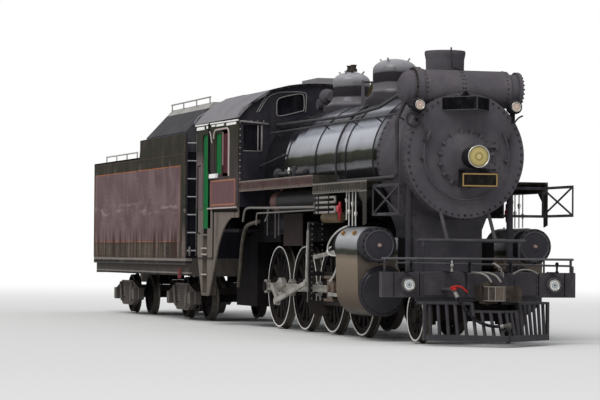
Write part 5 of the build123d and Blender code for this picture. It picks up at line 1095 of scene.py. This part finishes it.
# colour, stretch of the noise, its detail, from and to, strength, heights, softness
for code, stretch, detail, low, high, amount, heights, soft in (
        ("5d554a", (0.9, 0.9, 0.5), 4, 0.3, 0.62, 0.75, (1.22, 1.5), 0.12),
        ("3b2924", (4.4, 4.4, 0.35), 5, 0.47, 0.56, 0.85, (1.22, 1.6), 0.33),
        ("85756f", (3.7, 3.7, 0.3), 5, 0.555, 0.63, 0.6, (1.2, 1.58), 0.4),
        ("a2918f", (1.3, 1.3, 9), 5, 0.52, 0.64, 0.55, (2.2, 2.32), 0.1),
        ("8b7a7a", (3.2, 3.2, 0.8), 4, 0.56, 0.68, 0.35, (2.3, 3.05), 0.2)):
    mark = ranged(tree, noise(tree, stretched(tree, place, stretch), 1, detail), low, high, 0, amount)
    mark = maths(tree, "MULTIPLY", mark, inside(tree, spot["Z"], *heights, soft))
    base = mixed(tree, maths(tree, "MULTIPLY", mark, on_side), base, linear(code))
stain = mixed(tree, inside(tree, spot["Z"], 1.2, 1.75, 0.35), linear("6f6058"), linear("3b2c25"))
coat(tree, shader, base, mixed(tree, on_side, linear("34323a"), stain), 0.25, 0.35, 0.4, 0.1, 0.35, 0.3, 0.8)
dress(tender_paint, "tender_tank")
bunker_grey = weathered("bunker_grey", "3f3e43", "6e6a66", 0.4, 0.3, 0.5, 0, 0.45, 0.4, 1,
                        areas=[("aaa8a3", {"Z": (4.27, 4.6)})])
dress(bunker_grey, "oil_bunker")
satin_black = weathered("satin_black", "262528", "675e55", 0.3, 0.25, 0.5, 0.25, 0.33, 0.3, 1.4, IOR=1.08)
dress(satin_black, "hatch_lid")
rail_areas = [("b3b1ae", {"X": (-2.2, -2), "Y": (1.335, 1.512)}), ("c4c1ba", {"X": (-11, -7.3), "Z": (3.32, 3.6)})]
dress(weathered("tender_rail_paint", "2b2a2e", "5d5854", 0.3, 0.2, 0.3, 0.1, 0.33, 0.3, 2, areas=rail_areas),
      "tender_rails")
rivet_worn = weathered("tender_rivet", "5b4f4b", "3a302c", 0.5, 0.3, 0.3, 0, 0.35, 0.2, 4)
tag_red = weathered("tag_red", "7d4244", "5a4a46", 0.5, 0.3, 0.2, 0, 0.4, 0.2, 6)
tap_rings = [(0, 0.095), (0.02, 0.09), (0.022, 0.04), (0.036, 0.03), (0.036, -0.01), (0.022, -0.03), (0.018, -0.09),
             (0, -0.095)]
tender_front, tender_rear, column_pitch = -2.173, -10.702, 1.42
first, last = tender_rear + 0.06, tender_front - 0.07
for side, word in sides:
    y = side * 1.538
    columns = [upright(y, (x, 1.29), (x, top)) for x, top in
               [(first, 3.28), (last, 3.65)] + [(tender_rear + column_pitch * k, 3.28) for k in range(1, 6)]]
    rows = [upright(y, (first, z), (last, z)) for z in (1.285, 3.285)]
    along(f"tender_side_rivets_{word}", columns + rows, 0.1, 0.013, rivet_worn, "tender_maroon", "tender")
    tag = slabs(side, 1.48, 1.545, (-2.7, -2.66, 0.85, 1.045))
    piece(f"sill_tag_{word}", tag, tag_red, False, "tender")
    tap = lathe(tap_rings, (-2.125, side * 1.455, 1.385), along_z, 12)
    piece(f"tender_tap_{word}", tap, pipe_pale, body="tender")
    coping = boxes(((tender_rear - 0.005, min(y, y - side * 0.03), 3.318), (-6.15, max(y, y + side * 0.004), 3.345)))
    piece(f"tender_coping_{word}", coping, satin_black, False, "tender")
    wing = slabs(side, 1.502, 1.54, (-6.1, tender_front, 3.685, 3.7))
    piece(f"tender_wing_bead_{word}", wing, satin_black, False, "tender")
rear = tender_rear - 0.001
rows = [[(rear, -1.5, z), (rear, 1.5, z)] for z in (1.29, 3.28)]
rows += [[(rear, y, 1.3), (rear, y, 3.27)] for y in (-1.48, -0.5, 0.5, 1.48)]
along("tender_rear_rivets", rows, 0.08, 0.009, tender_paint, "tender_maroon", "tender")
bunker_side, bunker_seams = 1.181, (-7.03, -6.17, -5.3, -4.44, -3.59)
rows = [upright(side * bunker_side, (x, 3.36), (x, 3.78)) for side in (-1, 1) for x in bunker_seams]
rows += [upright(side * bunker_side, *[(x, 3.775) for x in bunker_seams[::4]]) for side in (-1, 1)]
along("bunker_rivets", rows, 0.08, 0.009, bunker_grey, "bunker_grey", "tender")
